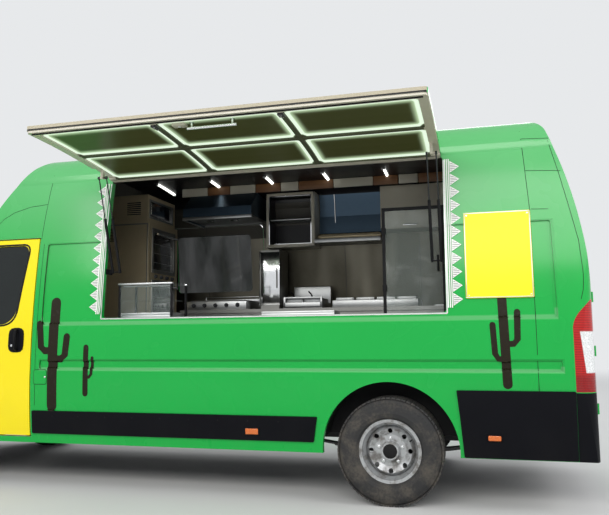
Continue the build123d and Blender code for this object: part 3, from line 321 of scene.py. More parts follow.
def rusty(made, colour, rough):
    """Painted or galvanised chassis metal with dirt and rust blooms in its corners."""
    blooms = (made.noise(11.0, 6.0, 0.7) + made.noise(47.0, 4.0) * 0.4).rise(0.78, 1.0)
    base = made.mix(colour, (0.16, 0.065, 0.025), blooms * 0.7)
    base, share = dusted(made, base, 0.05, 0.75, 0.7, (0.22, 0.19, 0.15))
    made.surface(base, rough + blooms * 0.3 + share * 0.2)
    made.bump(made.noise(160.0, 4.0), 0.0006, 0.4)


def vinyl(made, colour):
    wear = (made.noise(25.0, 5.0, 0.6) + made.noise(140.0, 3.0) * 0.3).rise(0.72, 0.95)
    base = made.tinted(colour, 0.08, made.noise(3.0))
    made.surface(made.mix(base, tuple(c * 0.7 + 0.04 for c in colour), wear * 0.4), 0.38 + wear * 0.2)
    made.bump(made.noise(600.0, 2.0), 0.0001, 0.3)


def lens(made, dark, light):
    """Coloured lamp plastic over a lattice of small prisms."""
    lattice = made.cells(260.0)
    made.set("Base Color", made.mix(dark, light, lattice))
    made.bump(lattice, 0.0012, 0.5)


GLOSS = {"coat_roughness": 0.14, "coat_ior": 1.42, "specular_ior_level": 0.10}
GRAINED = {"specular_ior_level": 0.16}
FILM = {"coat_weight": 0.05, "coat_roughness": 0.15, "specular_ior_level": 0.15}
CRYSTAL = {"coat_weight": 0.8, "roughness": 0.2}
FAMILIES = {
    "body_green": (GLOSS, lambda made: paint(made, tuple(settings().body_colour), True)),
    "door_yellow": (GLOSS, lambda made: paint(made, tuple(settings().door_colour))),
    "black_cladding": ({"specular_ior_level": 0.08},
                       lambda made: moulded(made, (0.0040, 0.0042, 0.0062), 0.42, dust=0.05)),
    "cab_trim": (GRAINED, lambda made: moulded(made, (0.045, 0.047, 0.052), 0.62, 700.0)),
    "pale_trim": (GRAINED, lambda made: moulded(made, (0.42, 0.42, 0.40), 0.6, 500.0)),
    "seal_rubber": (GRAINED, lambda made: moulded(made, (0.009, 0.009, 0.010), 0.7, 1400.0, 0.10)),
    "lid_rib": (GRAINED, lambda made: moulded(made, (0.075, 0.080, 0.048), 0.5, 500.0)),
    "rough_steel": ({}, lambda made: rusty(made, (0.035, 0.036, 0.04), 0.55)),
    "casting": ({}, lambda made: rusty(made, (0.13, 0.125, 0.12), 0.6)),
    "steel_sheet": ({"metallic": 1.0}, lambda made: brushed(made, (0.46, 0.47, 0.47), 0.26, "X")),
    "steel_upright": ({"metallic": 1.0}, lambda made: brushed(made, (0.27, 0.27, 0.255), 0.30)),
    "dark_steel": ({"metallic": 0.9}, lambda made: brushed(made, (0.060, 0.095, 0.135), 0.24)),
    "warm_steel": ({"metallic": 0.8}, lambda made: brushed(made, (0.55, 0.46, 0.30), 0.32)),
    "dark_chrome": ({"metallic": 1.0}, lambda made: brushed(made, (0.045, 0.047, 0.05), 0.12, smear=0.05)),
    "marker_orange": (CRYSTAL, lambda made: lens(made, (0.42, 0.07, 0.01), (0.85, 0.20, 0.02))),
    "marker_red": (CRYSTAL, lambda made: lens(made, (0.25, 0.004, 0.004), (0.7, 0.02, 0.015))),
    "cactus_brown": (FILM, lambda made: vinyl(made, (0.013, 0.010, 0.004))),
    "stripe_white": (FILM, lambda made: vinyl(made, (0.78, 0.80, 0.76))),
}
RECIPES.update({name: (fill, values) for name, (values, fill) in FAMILIES.items()})


@recipe(**GLOSS)
def hatch_green(made):
    """The lid's paint: green, with a thin cream edge over a dark seal at its outer end."""
    height = made.axis("Z")
    end = made.axis("Y").fall(-2.004 - ORIGIN.y, -2.000 - ORIGIN.y)
    edge = made.mix((0.008, 0.008, 0.008), (0.42, 0.38, 0.28), height.rise(2.5735, 2.5745))
    base = made.tinted(tuple(settings().body_colour), 0.06, made.noise(1.4, 3.0))
    made.surface(made.mix(base, edge, end), 0.24 + made.noise(9.0, 4.0) * 0.06)
    made.set("Coat Weight", 0.25 - end * 0.1)


@recipe(metallic=1.0)
def polished(made):
    smears = made.noise(40.0, 4.0)
    made.surface(made.tinted((0.78, 0.79, 0.80), 0.05, smears), 0.06 + smears * 0.10)


@recipe(metallic=0.55, coat_roughness=0.12)
def wheel_silver(made):
    flakes = made.cells(1500.0)
    base = made.mix((0.33, 0.34, 0.35), (0.48, 0.49, 0.50), flakes)
    grime = (made.noise(14.0, 5.0) + made.noise(60.0, 3.0) * 0.3).rise(0.55, 0.85)
    made.surface(made.mix(base, (0.10, 0.085, 0.07), grime * 0.75), 0.34 + grime * 0.4)
    made.set("Coat Weight", 0.5 - grime * 0.5)


@recipe()
def tyre_rubber(made):
    dust = (made.noise(9.0, 5.0) * 0.8 + made.noise(70.0, 3.0) * 0.35).rise(0.45, 0.8)
    made.surface(made.mix((0.014, 0.014, 0.015), (0.115, 0.10, 0.082), dust * 0.6), 0.72 + dust * 0.2)
    made.bump(made.noise(700.0, 3.0), 0.0004, 0.5)


@recipe(ior=1.5, roughness=0.02, specular_ior_level=0.45)
def tinted_glass(made):
    made.set("Base Color", made.tinted((0.006, 0.010, 0.010), 0.4, made.noise(2.0)))
    made.set("Alpha", 0.86 + made.noise(3.0) * 0.08)


@recipe(ior=1.45, specular_ior_level=0.4)
def clear_glass(made):
    smears = made.noise(5.0, 5.0, 0.6, distortion=0.8).rise(0.45, 0.8)
    made.surface(made.mix((0.40, 0.48, 0.46), (0.70, 0.74, 0.72), smears), 0.03 + smears * 0.12)
    made.set("Alpha", 0.08 + smears * 0.07)


@recipe(ior=1.45, specular_ior_level=0.5)
def shaded_glass(made):
    """Grey-green window film over clear glass, with lighter streaks painted in as reflections."""
    # Painted reflections: the lighter streaks in the colour.
    streaks = made.noise(4.0, 5.0, 0.6, made.stretched(1.0, 1.0, 0.3)).rise(0.35, 0.8)
    made.surface(made.mix((0.020, 0.032, 0.026), (0.055, 0.075, 0.060), streaks), 0.03 + streaks * 0.10)
    made.set("Alpha", 0.74 + streaks * 0.16)


@recipe(coat_weight=1.0, coat_roughness=0.03)
def oven_glass(made):
    grease = made.noise(10.0, 6.0, 0.65).rise(0.4, 0.85)
    made.surface(made.mix((0.008, 0.009, 0.011), (0.055, 0.045, 0.03), grease), 0.10 + grease * 0.25)


@recipe(coat_weight=0.5, coat_roughness=0.06, specular_ior_level=0.2)
def tail_lens(made):
    """Ribbed red lens with a clear reversing window at its outer rear edge."""
    height = made.axis("Z")
    back = made.axis("X")
    clear = height.rise(0.915, 0.925) * height.fall(1.185, 1.195)
    edge = back + (height - 1.05) * 0.10
    clear = clear * edge.rise(6.268 - ORIGIN.x, 6.274 - ORIGIN.x)
    ribs = height.saw(0.011).rise(0.0012, 0.0035)
    lattice = made.cells(95.0)
    red = made.mix((0.16, 0.001, 0.002), (0.50, 0.008, 0.006), ribs * (0.25 + height.rise(0.88, 0.93) * 0.75))
    glassy = made.mix((0.50, 0.52, 0.52), (0.86, 0.87, 0.88), lattice)
    made.surface(made.mix(red, glassy, clear), 0.16 + ribs * 0.06)
    made.set("Emission Color", made.mix((0.10, 0.0, 0.0), (0.0, 0.0, 0.0), clear))
    made.set("Emission Strength", 0.4)
    made.bump(ribs * (1 - clear) + lattice * clear * 0.6, 0.002, 0.6)


@recipe(coat_weight=1.0, coat_roughness=0.03, metallic=0.25)
def lamp_clear(made):
    flutes = made.axis("Y").saw(0.022).rise(0.002, 0.008)
    made.surface(made.mix((0.40, 0.42, 0.44), (0.80, 0.82, 0.84), flutes * 0.25 + made.cells(60.0) * 0.6),
                 0.09 + made.noise(12.0) * 0.08)
    made.bump(flutes, 0.001, 0.15)


@recipe(coat_weight=0.15, coat_roughness=0.2, specular_ior_level=0.25)
def board_yellow(made):
    base = made.tinted(tuple(settings().board_colour), 0.05, made.noise(4.0))
    made.surface(base, 0.38 + made.noise(20.0) * 0.08)
    made.bump(made.noise(900.0, 1.0), 0.0001, 0.3)


@recipe(coat_weight=0.25, coat_roughness=0.15)
def triangle_hatch(made):
    """White vinyl with thin dark cross lines."""
    lines = made.axis("Z").saw(0.0125).rise(0.0022, 0.0032)
    edge = made.axis("X", made.sheet)
    inside = edge.rise(0.16, 0.2)
    dark = inside * (1 - lines)
    made.surface(made.mix((0.80, 0.81, 0.78), (0.16, 0.18, 0.17), dark), 0.38 + made.noise(20.0) * 0.08)


@recipe(coat_weight=0.3, coat_roughness=0.1)
def cream_enamel(made):
    stains = made.noise(6.0, 6.0, 0.6).rise(0.5, 0.9)
    made.surface(made.mix((0.50, 0.47, 0.38), (0.36, 0.31, 0.23), stains * 0.5), 0.34 + stains * 0.2)
    made.bump(made.noise(300.0, 2.0), 0.0002, 0.3)


@recipe(coat_weight=0.2, coat_roughness=0.2)
def oak_board(made):
    """Brown wood-grained board."""
    grain = made.noise(1.0, 5.0, 0.65, made.stretched(3.0, 60.0, 40.0), distortion=0.6)
    made.surface(made.mix((0.10, 0.040, 0.014), (0.26, 0.12, 0.045), grain), 0.42 + grain * 0.2)
    made.bump(grain, 0.0006, 0.4)


@recipe()
def dark_ceiling(made):
    # Near-black lining under the roof: its own dark colour, darkened further as painted shade.
    seams = made.axis("X").saw(0.61).rise(0.002, 0.006)
    grime = made.noise(5.0, 6.0, 0.6)
    made.surface(made.mix((0.002, 0.002, 0.002), (0.010, 0.009, 0.012), seams * (grime * 0.5 + 0.55)),
                 0.28 + grime * 0.2)
    made.bump(seams, 0.002, 0.7)


@recipe()
def kitchen_wall(made):
    """Steel splashback to head height with panel seams, and wall board above it; both are darkened as painted shade of
    the kitchen, and the steel's lighter sweeps are painted reflections.
    """
    height = made.axis("Z")
    seams = made.axis("X").saw(0.75).rise(0.0015, 0.004)
    lines = made.noise(1.0, 2.0, 0.6, made.stretched(900.0, 900.0, 3.0))
    smears = made.noise(6.0, 5.0, 0.65, distortion=1.0)
    board = height.rise(2.185, 2.19)
    # Painted reflections: lighter sweeps across the steel; the dark end of the steel colour is painted shade.
    painted_reflection_sweep = made.noise(1.0, 2.0, 0.5, made.stretched(2.6, 1.0, 0.5)).rise(0.35, 0.65)
    metal = made.mix((0.055, 0.050, 0.036), (0.24, 0.225, 0.18), painted_reflection_sweep * 0.8 + smears * 0.2)
    # The wall board's colour, darkened as painted shade.
    pale = made.tinted((0.060, 0.055, 0.042), 0.10, made.noise(3.0))
    made.set("Base Color", made.mix((0.03, 0.03, 0.03), made.mix(metal, pale, board), seams))
    made.set("Metallic", (1 - board) * seams * 0.95)
    made.set("Roughness", 0.30 + lines * 0.12 + smears * 0.12 + board * 0.15)
    made.bump(seams + lines * 0.05, 0.001, 0.5)


@recipe()
def floor_vinyl(made):
    """Dark safety flooring with mineral speckle, worn paler along the aisle."""
    speckle = made.cells(420.0).fall(0.18, 0.30)
    worn = made.noise(2.5, 5.0).rise(0.4, 0.75)
    base = made.mix((0.055, 0.06, 0.065), (0.11, 0.112, 0.11), worn)
    made.surface(made.mix(base, (0.34, 0.34, 0.33), speckle * 0.5), 0.62 - worn * 0.12)
    made.bump(speckle, 0.0005, 0.5)


@recipe(sheen_weight=0.35, sheen_roughness=0.5)
def seat_cloth(made):
    """Woven cloth: crossed threads with a darker fleck."""
    warp = made.axis("X").saw(0.0032).rise(0.0002, 0.0014)
    weft = made.axis("Y").saw(0.0026).rise(0.0002, 0.0012)
    fleck = made.cells(190.0).fall(0.12, 0.22)
    weave = warp * 0.5 + weft * 0.5
    base = made.mix((0.030, 0.033, 0.042), (0.085, 0.09, 0.105), weave)
    made.surface(made.mix(base, (0.20, 0.21, 0.24), fleck * 0.55), 0.88 - weave * 0.1)
    made.bump(weave + made.noise(60.0, 3.0) * 0.3, 0.0012, 0.6)


@recipe(roughness=0.4)
def light_strip(made):
    glow = made.cells(160.0)
    made.set("Base Color", (0.9, 0.92, 0.88))
    made.set("Emission Color", made.mix((1.0, 0.98, 0.92), (0.92, 1.0, 0.95), glow))
    made.set("Emission Strength", settings().lamp_glow)


@recipe(coat_weight=0.15, coat_roughness=0.15, roughness=0.4, specular_ior_level=0.25)
def painted_glow_panel(made):
    """Panel with a painted glow: a painted highlight in base colour and emission round its edge, and a dim olive middle
    darkened as painted shade.
    """
    across = abs(made.axis("X", made.sheet) - 0.5).rise(0.385, 0.497)
    deep = abs(made.axis("Y", made.sheet) - 0.5).rise(0.22, 0.494)
    edge = (across ** 5 + deep ** 5) ** 0.2
    cloud = made.noise(3.0, 3.0)
    rim = (edge + cloud * 0.05 - 0.02).rise(0.0, 1.0) ** 1.7
    line = edge.rise(0.74, 0.88) * edge.fall(1.02, 1.10)
    corner = edge.rise(1.03, 1.10)
    # Painted highlight: lighter base colour and strong emission round each panel's edge; painted shade in its middle.
    made.set("Base Color", made.mix((0.034, 0.036, 0.012), (0.18, 0.24, 0.12), rim * (1 - corner)))
    glow = made.mix((0.016, 0.018, 0.004), (0.50, 0.66, 0.42), rim)
    glow = made.mix(glow, (0.030, 0.040, 0.020), corner)
    made.set("Emission Color", made.mix(glow, (0.86, 1.0, 0.84), line))
    made.set("Emission Strength", settings().panel_painted_glow)


@recipe(metallic=1.0)
def mirror_glass(made):
    smears = made.noise(30.0, 4.0)
    made.surface(made.tinted((0.80, 0.82, 0.84), 0.03, smears), 0.02 + smears * 0.04)


@recipe(coat_weight=0.4, coat_roughness=0.1)
def blank_plate(made):
    dirt = made.noise(30.0, 5.0).rise(0.5, 0.9)
    made.surface(made.mix((0.74, 0.74, 0.70), (0.45, 0.41, 0.34), dirt * 0.5), 0.4 + dirt * 0.2)
    made.bump(made.noise(500.0, 1.0), 0.0002, 0.3)


@recipe(metallic=0.9)
def disc_iron(made):
    rings = made.noise(1.0, 3.0, 0.5, made.stretched(260.0, 20.0, 260.0))
    made.surface(made.mix((0.22, 0.20, 0.18), (0.42, 0.40, 0.38), rings), 0.34 + rings * 0.2)


@recipe(specular_ior_level=0.2)
def pale_floor(made):
    made.surface(made.tinted((0.66, 0.66, 0.655), 0.02, made.noise(1.2)), 0.85 + made.noise(4.0) * 0.1)


# Mesh building
SHARP_ANGLE = math.radians(32)


def placed(name, data):
    made = bpy.data.objects.new(name, data)
    bpy.context.scene.collection.objects.link(made)
    return made


def laid(axis, a, b, along):
    """A point from two coordinates across an axis and one along it."""
    return {"X": (along, a, b), "Y": (a, along, b), "Z": (a, b, along)}[axis]


def span(part, rings):
    """Faces between closed rings of vertices that follow each other."""
    for low, high in zip(rings, rings[1:]):
        for i in range(len(low)):
            j = (i + 1) % len(low)
            part.faces.new([low[i], low[j], high[j], high[i]])


class Form:
    """Shaped solids gathered in one mesh, in the van's axes, with a material slot for each finish."""

    def __init__(self, mesh=None, *names):
        self.mesh = mesh or bmesh.new()
        if not mesh:
            self.mesh.loops.layers.uv.new("UVMap")
        self.names = list(names)

    def _slot(self, name):
        if name not in self.names:
            self.names.append(name)
        return self.names.index(name)

    def _take(self, part, name):
        """Adds a small closed bmesh."""
        bmesh.ops.recalc_face_normals(part, faces=part.faces)
        index = self._slot(name)
        new = {v: self.mesh.verts.new(v.co) for v in part.verts}
        for face in part.faces:
            copy = self.mesh.faces.new([new[v] for v in face.verts])
            copy.material_index = index
            copy.smooth = True
        part.free()

    def slab(self, low, high, name, bevel=0.003, turn=None, at=(0, 0, 0)):
        """A box with rounded edges, with corners given from a point, turned by a matrix about its own middle."""
        low, high = Vector(at) + Vector(low), Vector(at) + Vector(high)
        part = bmesh.new()
        bmesh.ops.create_cube(part, size=1.0)
        size, centre = high - low, (low + high) / 2
        for v in part.verts:
            v.co = Vector(a * b for a, b in zip(v.co, size))
        width = min(bevel, min(size) * 0.45)
        if width > 0:
            bmesh.ops.bevel(part, geom=part.edges[:], offset=width, segments=2, profile=0.5, affect="EDGES")
        for v in part.verts:
            v.co = (turn @ v.co if turn else v.co) + centre
        self._take(part, name)

    def prism(self, outline, axis, low, high, name, bevel=0.0):
        """A polygon in the two other axes, drawn out along an axis: X takes (y, z), Y takes (x, z), Z takes (x, y)."""
        part = bmesh.new()
        near = [part.verts.new(laid(axis, a, b, low)) for a, b in outline]
        far = [part.verts.new(laid(axis, a, b, high)) for a, b in outline]
        part.faces.new(near)
        part.faces.new(far[::-1])
        for i in range(len(outline)):
            j = (i + 1) % len(outline)
            part.faces.new([near[j], near[i], far[i], far[j]])
        if bevel:
            bmesh.ops.bevel(part, geom=part.edges[:], offset=bevel, segments=2, profile=0.5, affect="EDGES")
        self._take(part, name)

    def lathe(self, profile, centre, axis, name, steps=40):
        """A closed half section of (radius, along) points revolved about an axis through the centre."""
        part = bmesh.new()
        centre = Vector(centre)
        direction = Vector(axis).normalized()
        across = direction.orthogonal().normalized()
        rows = []
        for radius, along in profile:
            if radius < 1e-6:
                rows.append([part.verts.new(centre + direction * along)])
                continue
            row = []
            for i in range(steps):
                spin = Matrix.Rotation(2 * math.pi * i / steps, 3, direction)
                row.append(part.verts.new(centre + direction * along + spin @ across * radius))
            rows.append(row)
        for a, b in zip(rows, rows[1:] + rows[:1]):
            for i in range(steps):
                j = (i + 1) % steps
                corners = [a[i % len(a)], a[j % len(a)], b[j % len(b)], b[i % len(b)]]
                kept = [v for n, v in enumerate(corners) if v not in corners[:n]]
                if len(kept) > 2:
                    part.faces.new(kept)
        self._take(part, name)

    def rod(self, start, end, radius, name, sides=20, crown=0.15, at=(0, 0, 0)):
        """A round bar with softened ends."""
        start, end = Vector(at) + Vector(start), Vector(at) + Vector(end)
        length = (end - start).length
        soft = min(radius * crown, length * 0.3)
        profile = [(0, 0), (radius - soft, 0), (radius, soft), (radius, length - soft), (radius - soft, length),
                   (0, length)]
        self.lathe(profile, start, end - start, name, sides)

    def tube(self, points, radius, name, sides=12, flat=1.0):
        """A bar that follows points, with its corners mitred; flat squeezes its section."""
        points = [Vector(p) for p in points]
        part = bmesh.new()
        rings = []
        side = None
        for i, point in enumerate(points):
            before = (point - points[i - 1]).normalized() if i else None
            after = (points[i + 1] - point).normalized() if i + 1 < len(points) else None
            along = ((before or after) + (after or before)).normalized()
            side = along.orthogonal().normalized() if side is None else (side - along * side.dot(along)).normalized()
            up = along.cross(side)
            stretch = 1.0 if before is None or after is None else 1.0 / max(0.5, math.sqrt((1 + before.dot(after)) / 2))
            ring = []
            for n in range(sides):
                a = 2 * math.pi * n / sides
                offset = side * math.cos(a) * radius + up * math.sin(a) * radius * flat
                ring.append(part.verts.new(point + offset * (1 + (stretch - 1) * 0.5)))
            rings.append(ring)
        span(part, rings)
        part.faces.new(rings[0][::-1])
        part.faces.new(rings[-1])
        self._take(part, name)

    def pillow(self, low, high, name, crown, cuts):
        """A crowned pad: a finely cut box whose faces swell and whose corners pull in."""
        low, high = Vector(low), Vector(high)
        size, centre = high - low, (low + high) / 2
        part = bmesh.new()
        bmesh.ops.create_cube(part, size=2.0)
        bmesh.ops.subdivide_edges(part, edges=part.edges[:], cuts=cuts, use_grid_fill=True)
        for v in part.verts:
            p = v.co.copy()
            length = max(1e-6, p.length)
            longest = max(abs(c) for c in p)
            soft = p * (longest / length)
            v.co = p.lerp(soft, crown)
            v.co = Vector(a * b / 2 for a, b in zip(v.co, size)) + centre
        self._take(part, name)

    def object(self, name):
        mesh = bpy.data.meshes.new(name)
        bmesh.ops.translate(self.mesh, verts=self.mesh.verts[:], vec=-ORIGIN)
        self.mesh.to_mesh(mesh)
        self.mesh.free()
        mesh.set_sharp_from_angle(angle=SHARP_ANGLE)
        for key in self.names:
            mesh.materials.append(finish(key))
        return placed(name, mesh)

    def piece(self, name, body, replaces=()):
        """Makes the object, lets it ride on a body and hides the nodes it replaces."""
        return settle(self.object(name), body, replaces)


def settle(made, body, replaces=()):
    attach(made, body)
    if replaces:
        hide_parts(*replaces)
    return made


def ring_points(count, centre, radius):
    turns = [2 * math.pi * i / count for i in range(count)]
    return [(centre[0] + radius * math.cos(turn), centre[1] + radius * math.sin(turn)) for turn in turns]


def rounded(points, radius, steps=4):
    """A polygon with its corners rounded, all alike or each by its own radius."""
    corners = []
    radii = radius if isinstance(radius, tuple) else (radius,) * len(points)
    for i, point in enumerate(points):
        p, q, r = Vector(points[i - 1]), Vector(point), Vector(points[(i + 1) % len(points)])
        a, b = (p - q).normalized(), (r - q).normalized()
        half = math.acos(max(-1.0, min(1.0, a.dot(b)))) / 2
        reach = min(radii[i] / math.tan(half), (p - q).length * 0.49, (r - q).length * 0.49)
        start, end = q + a * reach, q + b * reach
        for n in range(steps + 1):
            t = n / steps
            corners.append(tuple((1 - t) ** 2 * start + 2 * t * (1 - t) * q + t * t * end))
    return corners


def both_sides(points, width):
    """The left and right edges of a band along points in a plane."""
    left, right = [], []
    for i, p in enumerate(points):
        d = (points[min(i + 1, len(points) - 1)] - points[max(i - 1, 0)]).normalized()
        n = Vector((-d.y, d.x)) * width / 2
        left.append(p + n)
        right.append(p - n)
    return left, right


def stroke(points, width, steps=8):
    """The outline of a brush stroke with round ends."""
    points = [Vector(p) for p in points]
    left, right = both_sides(points, width)
    def cap(centre, start):
        return [centre + Matrix.Rotation(-math.pi * k / steps, 2) @ (start - centre) for k in range(1, steps)]
    return [tuple(p) for p in left + cap(points[-1], left[-1]) + right[::-1] + cap(points[0], right[0])]


def bridged(x, z, side, nodes, reach):
    """A place on a side wall for vinyl, held out over the steps of the pressings within that reach."""
    point, normal = skin(x, z, side, *nodes)
    place = point.copy()
    for dz in (-reach, reach):
        near, _ = skin(x, z + dz, side, *nodes)
        if (near.y - point.y) * side > 0.002 and (near.y - place.y) * side > 0:
            place.y = near.y
    return place, normal


def drape(name, outlines, side, nodes, finish_name, body, lift=0.0007, fine=0.05, mark_edges=False):
    """Thin vinyl cut to outlines in (x, z), laid on a side wall and following its pressings."""
    mesh = bmesh.new()
    uv = mesh.loops.layers.uv.new("UVMap")
    for outline in outlines:
        part = bmesh.new()
        part.faces.new([part.verts.new((x, 0, z)) for x, z in outline])
        bmesh.ops.triangulate(part, faces=part.faces[:])
        if mark_edges:
            for face in part.faces[:]:
                bmesh.ops.poke(part, faces=[face])
        for _ in range(7):
            long_edges = [e for e in part.edges if e.calc_length() > fine]
            if not long_edges:
                break
            bmesh.ops.subdivide_edges(part, edges=long_edges, cuts=1)
            bmesh.ops.triangulate(part, faces=part.faces[:])
        border = {v for e in part.edges if e.is_boundary for v in e.verts}
        new = {}
        for v in part.verts:
            point, normal = bridged(v.co.x, v.co.z, side, nodes, fine)
            new[v] = mesh.verts.new(point + normal * lift)
        middle_point = sum((Vector((x, 0, z)) for x, z in outline), Vector()) / len(outline)
        reach = max((Vector((x, 0, z)) - middle_point).length for x, z in outline)
        for face in part.faces:
            corners = [new[v] for v in face.verts]
            if mesh.faces.get(corners):
                continue
            made = mesh.faces.new(corners)
            made.normal_update()
            if made.normal.y * side < 0:
                made.normal_flip()
            made.smooth = True
            lookup = {new[v]: v for v in face.verts}
            for loop in made.loops:
                v = lookup[loop.vert]
                loop[uv].uv = (0.0 if v in border else 1 - (v.co - middle_point).length / reach, 0.0)
        part.free()
    return Form(mesh, finish_name).piece(name, body)


def wire(tree, *links):
    """Joins nodes: each link gives a node, its output, another node and its input."""
    for source, output, target, socket in links:
        tree.links.new(source.outputs[output], target.inputs[socket])


# Geometry Nodes: even rows and rings of one piece
def repeat_tree(name, turning):
    """A node tree that repeats a piece along a step, or about the Y axis of a centre, and gives it one material."""
    tree = bpy.data.node_groups.new(name, "GeometryNodeTree")
    face = tree.interface
    face.new_socket("Geometry", in_out="OUTPUT", socket_type="NodeSocketGeometry")
    sockets = [("Piece", "NodeSocketObject"), ("Count", "NodeSocketInt"), ("Start", "NodeSocketVector"),
               ("Step", "NodeSocketVector"), ("Finish", "NodeSocketMaterial")]
    for label, kind in sockets:
        face.new_socket(label, in_out="INPUT", socket_type=kind)
    add = tree.nodes.new
    given, result = add("NodeGroupInput"), add("NodeGroupOutput")
    line, info = add("GeometryNodeMeshLine"), add("GeometryNodeObjectInfo")
    place, realise = add("GeometryNodeInstanceOnPoints"), add("GeometryNodeRealizeInstances")
    colour = add("GeometryNodeSetMaterial")
    wire(tree, (given, "Count", line, "Count"), (given, "Start", line, "Start Location"),
         (given, "Piece", info, "Object"), (line, "Mesh", place, "Points"), (info, "Geometry", place, "Instance"),
         (place, "Instances", realise, "Geometry"), (realise, "Geometry", colour, "Geometry"),
         (given, "Finish", colour, "Material"), (colour, "Geometry", result, "Geometry"))
    if turning:
        line.inputs["Offset"].default_value = (0, 0, 0)
        index, scale = add("GeometryNodeInputIndex"), add("ShaderNodeVectorMath")
        scale.operation = "SCALE"
        wire(tree, (given, "Step", scale, 0), (index, 0, scale, "Scale"), (scale, 0, place, "Rotation"))
    else:
        wire(tree, (given, "Step", line, "Offset"))
    return tree


def repeated(form, count, start, step, turning=False):
    """A plain mesh object of a form repeated in its first finish by Geometry Nodes; start is in the van's axes."""
    key = "even_ring" if turning else "even_row"
    tree = bpy.data.node_groups.get(key) or repeat_tree(key, turning)
    bmesh.ops.translate(form.mesh, verts=form.mesh.verts[:], vec=ORIGIN)
    template = form.object("template")
    template.hide_render = True
    carrier = placed("carrier", bpy.data.meshes.new("carrier"))
    modifier = carrier.modifiers.new("repeat", "NODES")
    modifier.node_group = tree
    values = {"Piece": template, "Count": count, "Start": Vector(start) - ORIGIN, "Step": Vector(step),
              "Finish": finish(form.names[0])}
    for item in tree.interface.items_tree:
        if item.in_out == "INPUT":
            modifier[item.identifier] = values[item.name]
    graph = bpy.context.evaluated_depsgraph_get()
    mesh = bpy.data.meshes.new_from_object(carrier.evaluated_get(graph))
    for old in (carrier, template):
        bpy.data.objects.remove(old)
    return placed("repeated", mesh)


def row(name, form, count, start, step, body, slot, turning=False):
    made = repeated(form, count, start, step, turning)
    made.name = made.data.name = name
    return settle(made, body)


def screw_head(radius, height, facing=(0, -1, 0), name="polished"):
    """A domed head with a sunk middle, at the origin."""
    form = Form()
    form.lathe([(0, height * 0.55), (radius * 0.42, height * 0.55), (radius * 0.5, height),
                (radius * 0.8, height * 0.9), (radius, height * 0.3), (radius, -height), (0, -height)], (0, 0, 0),
               facing, name, 12)
    return form


# Settings that a user would change
def settings():
    return bpy.context.scene.food_truck


class FoodTruckSettings(bpy.types.PropertyGroup):
    """Colours and sizes of the truck's dressing."""
    body_colour: bpy.props.FloatVectorProperty(
        name="Body", description="Gloss paint of the van's body", subtype="COLOR", size=3, min=0, max=1,
        default=(0.003, 0.365, 0.052))
    door_colour: bpy.props.FloatVectorProperty(
        name="Cab doors", description="Gloss paint of the two cab doors", subtype="COLOR", size=3, min=0, max=1,
        default=(0.86, 0.70, 0.006))
    board_colour: bpy.props.FloatVectorProperty(
        name="Board", description="Face of the blank board beside the hatch", subtype="COLOR", size=3, min=0, max=1,
        default=(0.92, 0.84, 0.004))
    lamp_glow: bpy.props.FloatProperty(
        name="Ceiling lamps", description="Brightness of the lamps under the kitchen's ceiling", default=3.2, min=0,
                                       max=50)
    # Strength of the painted glow on the hatch's panels.
    panel_painted_glow: bpy.props.FloatProperty(
        name="Hatch panels", description="Brightness of the lit panels under the hatch", default=0.9, min=0, max=10)
    triangle_count: bpy.props.IntProperty(
        name="Triangles", description="Triangles in the border at each side of the hatch", default=11, min=3, max=30)
    triangle_width: bpy.props.FloatProperty(
        name="Triangle width", description="From a triangle's base to its tip", default=0.066, min=0.02, max=0.2,
        unit="LENGTH")
    stripe_width: bpy.props.FloatProperty(
        name="Stripe width", description="Width of one upright stripe beside the hatch", default=0.0075, min=0.002,
        max=0.05, unit="LENGTH")
    tread_pitches: bpy.props.IntProperty(
        name="Tread pitches", description="Tread blocks round each tyre", default=64, min=24, max=120)
    tread_depth: bpy.props.FloatProperty(
        name="Tread depth", description="Depth of the tyres' grooves", default=0.0085, min=0.002, max=0.015,
        unit="LENGTH")
    grille_slats: bpy.props.IntProperty(
        name="Grille slats", description="Slats across the grille", default=7, min=2, max=20)


PLAIN_NODES = {
    "tinted_glass": ("windscreen", "door_glass_left", "door_glass_right", "rear_glass_left", "rear_glass_right"),
    "shaded_glass": ("kitchen_window",),
    "black_cladding": ("grille", "front_bumper", "rear_bumper", "side_mouldings", "mirror_left", "mirror_right"),
    "lamp_clear": ("headlamps",),
    "tail_lens": ("tail_lamps",),
    "board_yellow": ("menu_board",),
    "seal_rubber": ("wheel_arch_liners", "screen_frame", "strut_cylinders"),
    "rough_steel": ("front_axle", "rear_axle", "chassis_frame"),
    "casting": ("engine_block", "exhaust", "knuckle_left", "knuckle_right"),
    "floor_vinyl": ("floor_pan",),
    "kitchen_wall": ("bulkhead",),
    "cab_trim": ("dashboard", "steering_wheel"),
    "steel_sheet": ("serving_counter",),
    "steel_upright": ("back_counter",),
    "warm_steel": ("oven_tower",),
    "dark_steel": ("extractor_hood",),
    "light_strip": ("ceiling_lamps",),
    "clear_glass": ("screen_glass",),
    "body_green": ("bonnet",),
    "dark_chrome": ("strut_rods",),
    "tyre_rubber": ("tyre_front_left", "tyre_front_right", "tyre_rear_left", "tyre_rear_right"),
    "wheel_silver": ("rim_front_left", "rim_front_right", "rim_rear_left", "rim_rear_right"),
}


INWARD = -0.25  # a face turned further in than this is lining


def away(point):
    """Outwards from the van's core at a point in the van's axes."""
    return Vector(((point.x - 3.2) * 0.3, point.y, point.z - 1.45)).normalized()


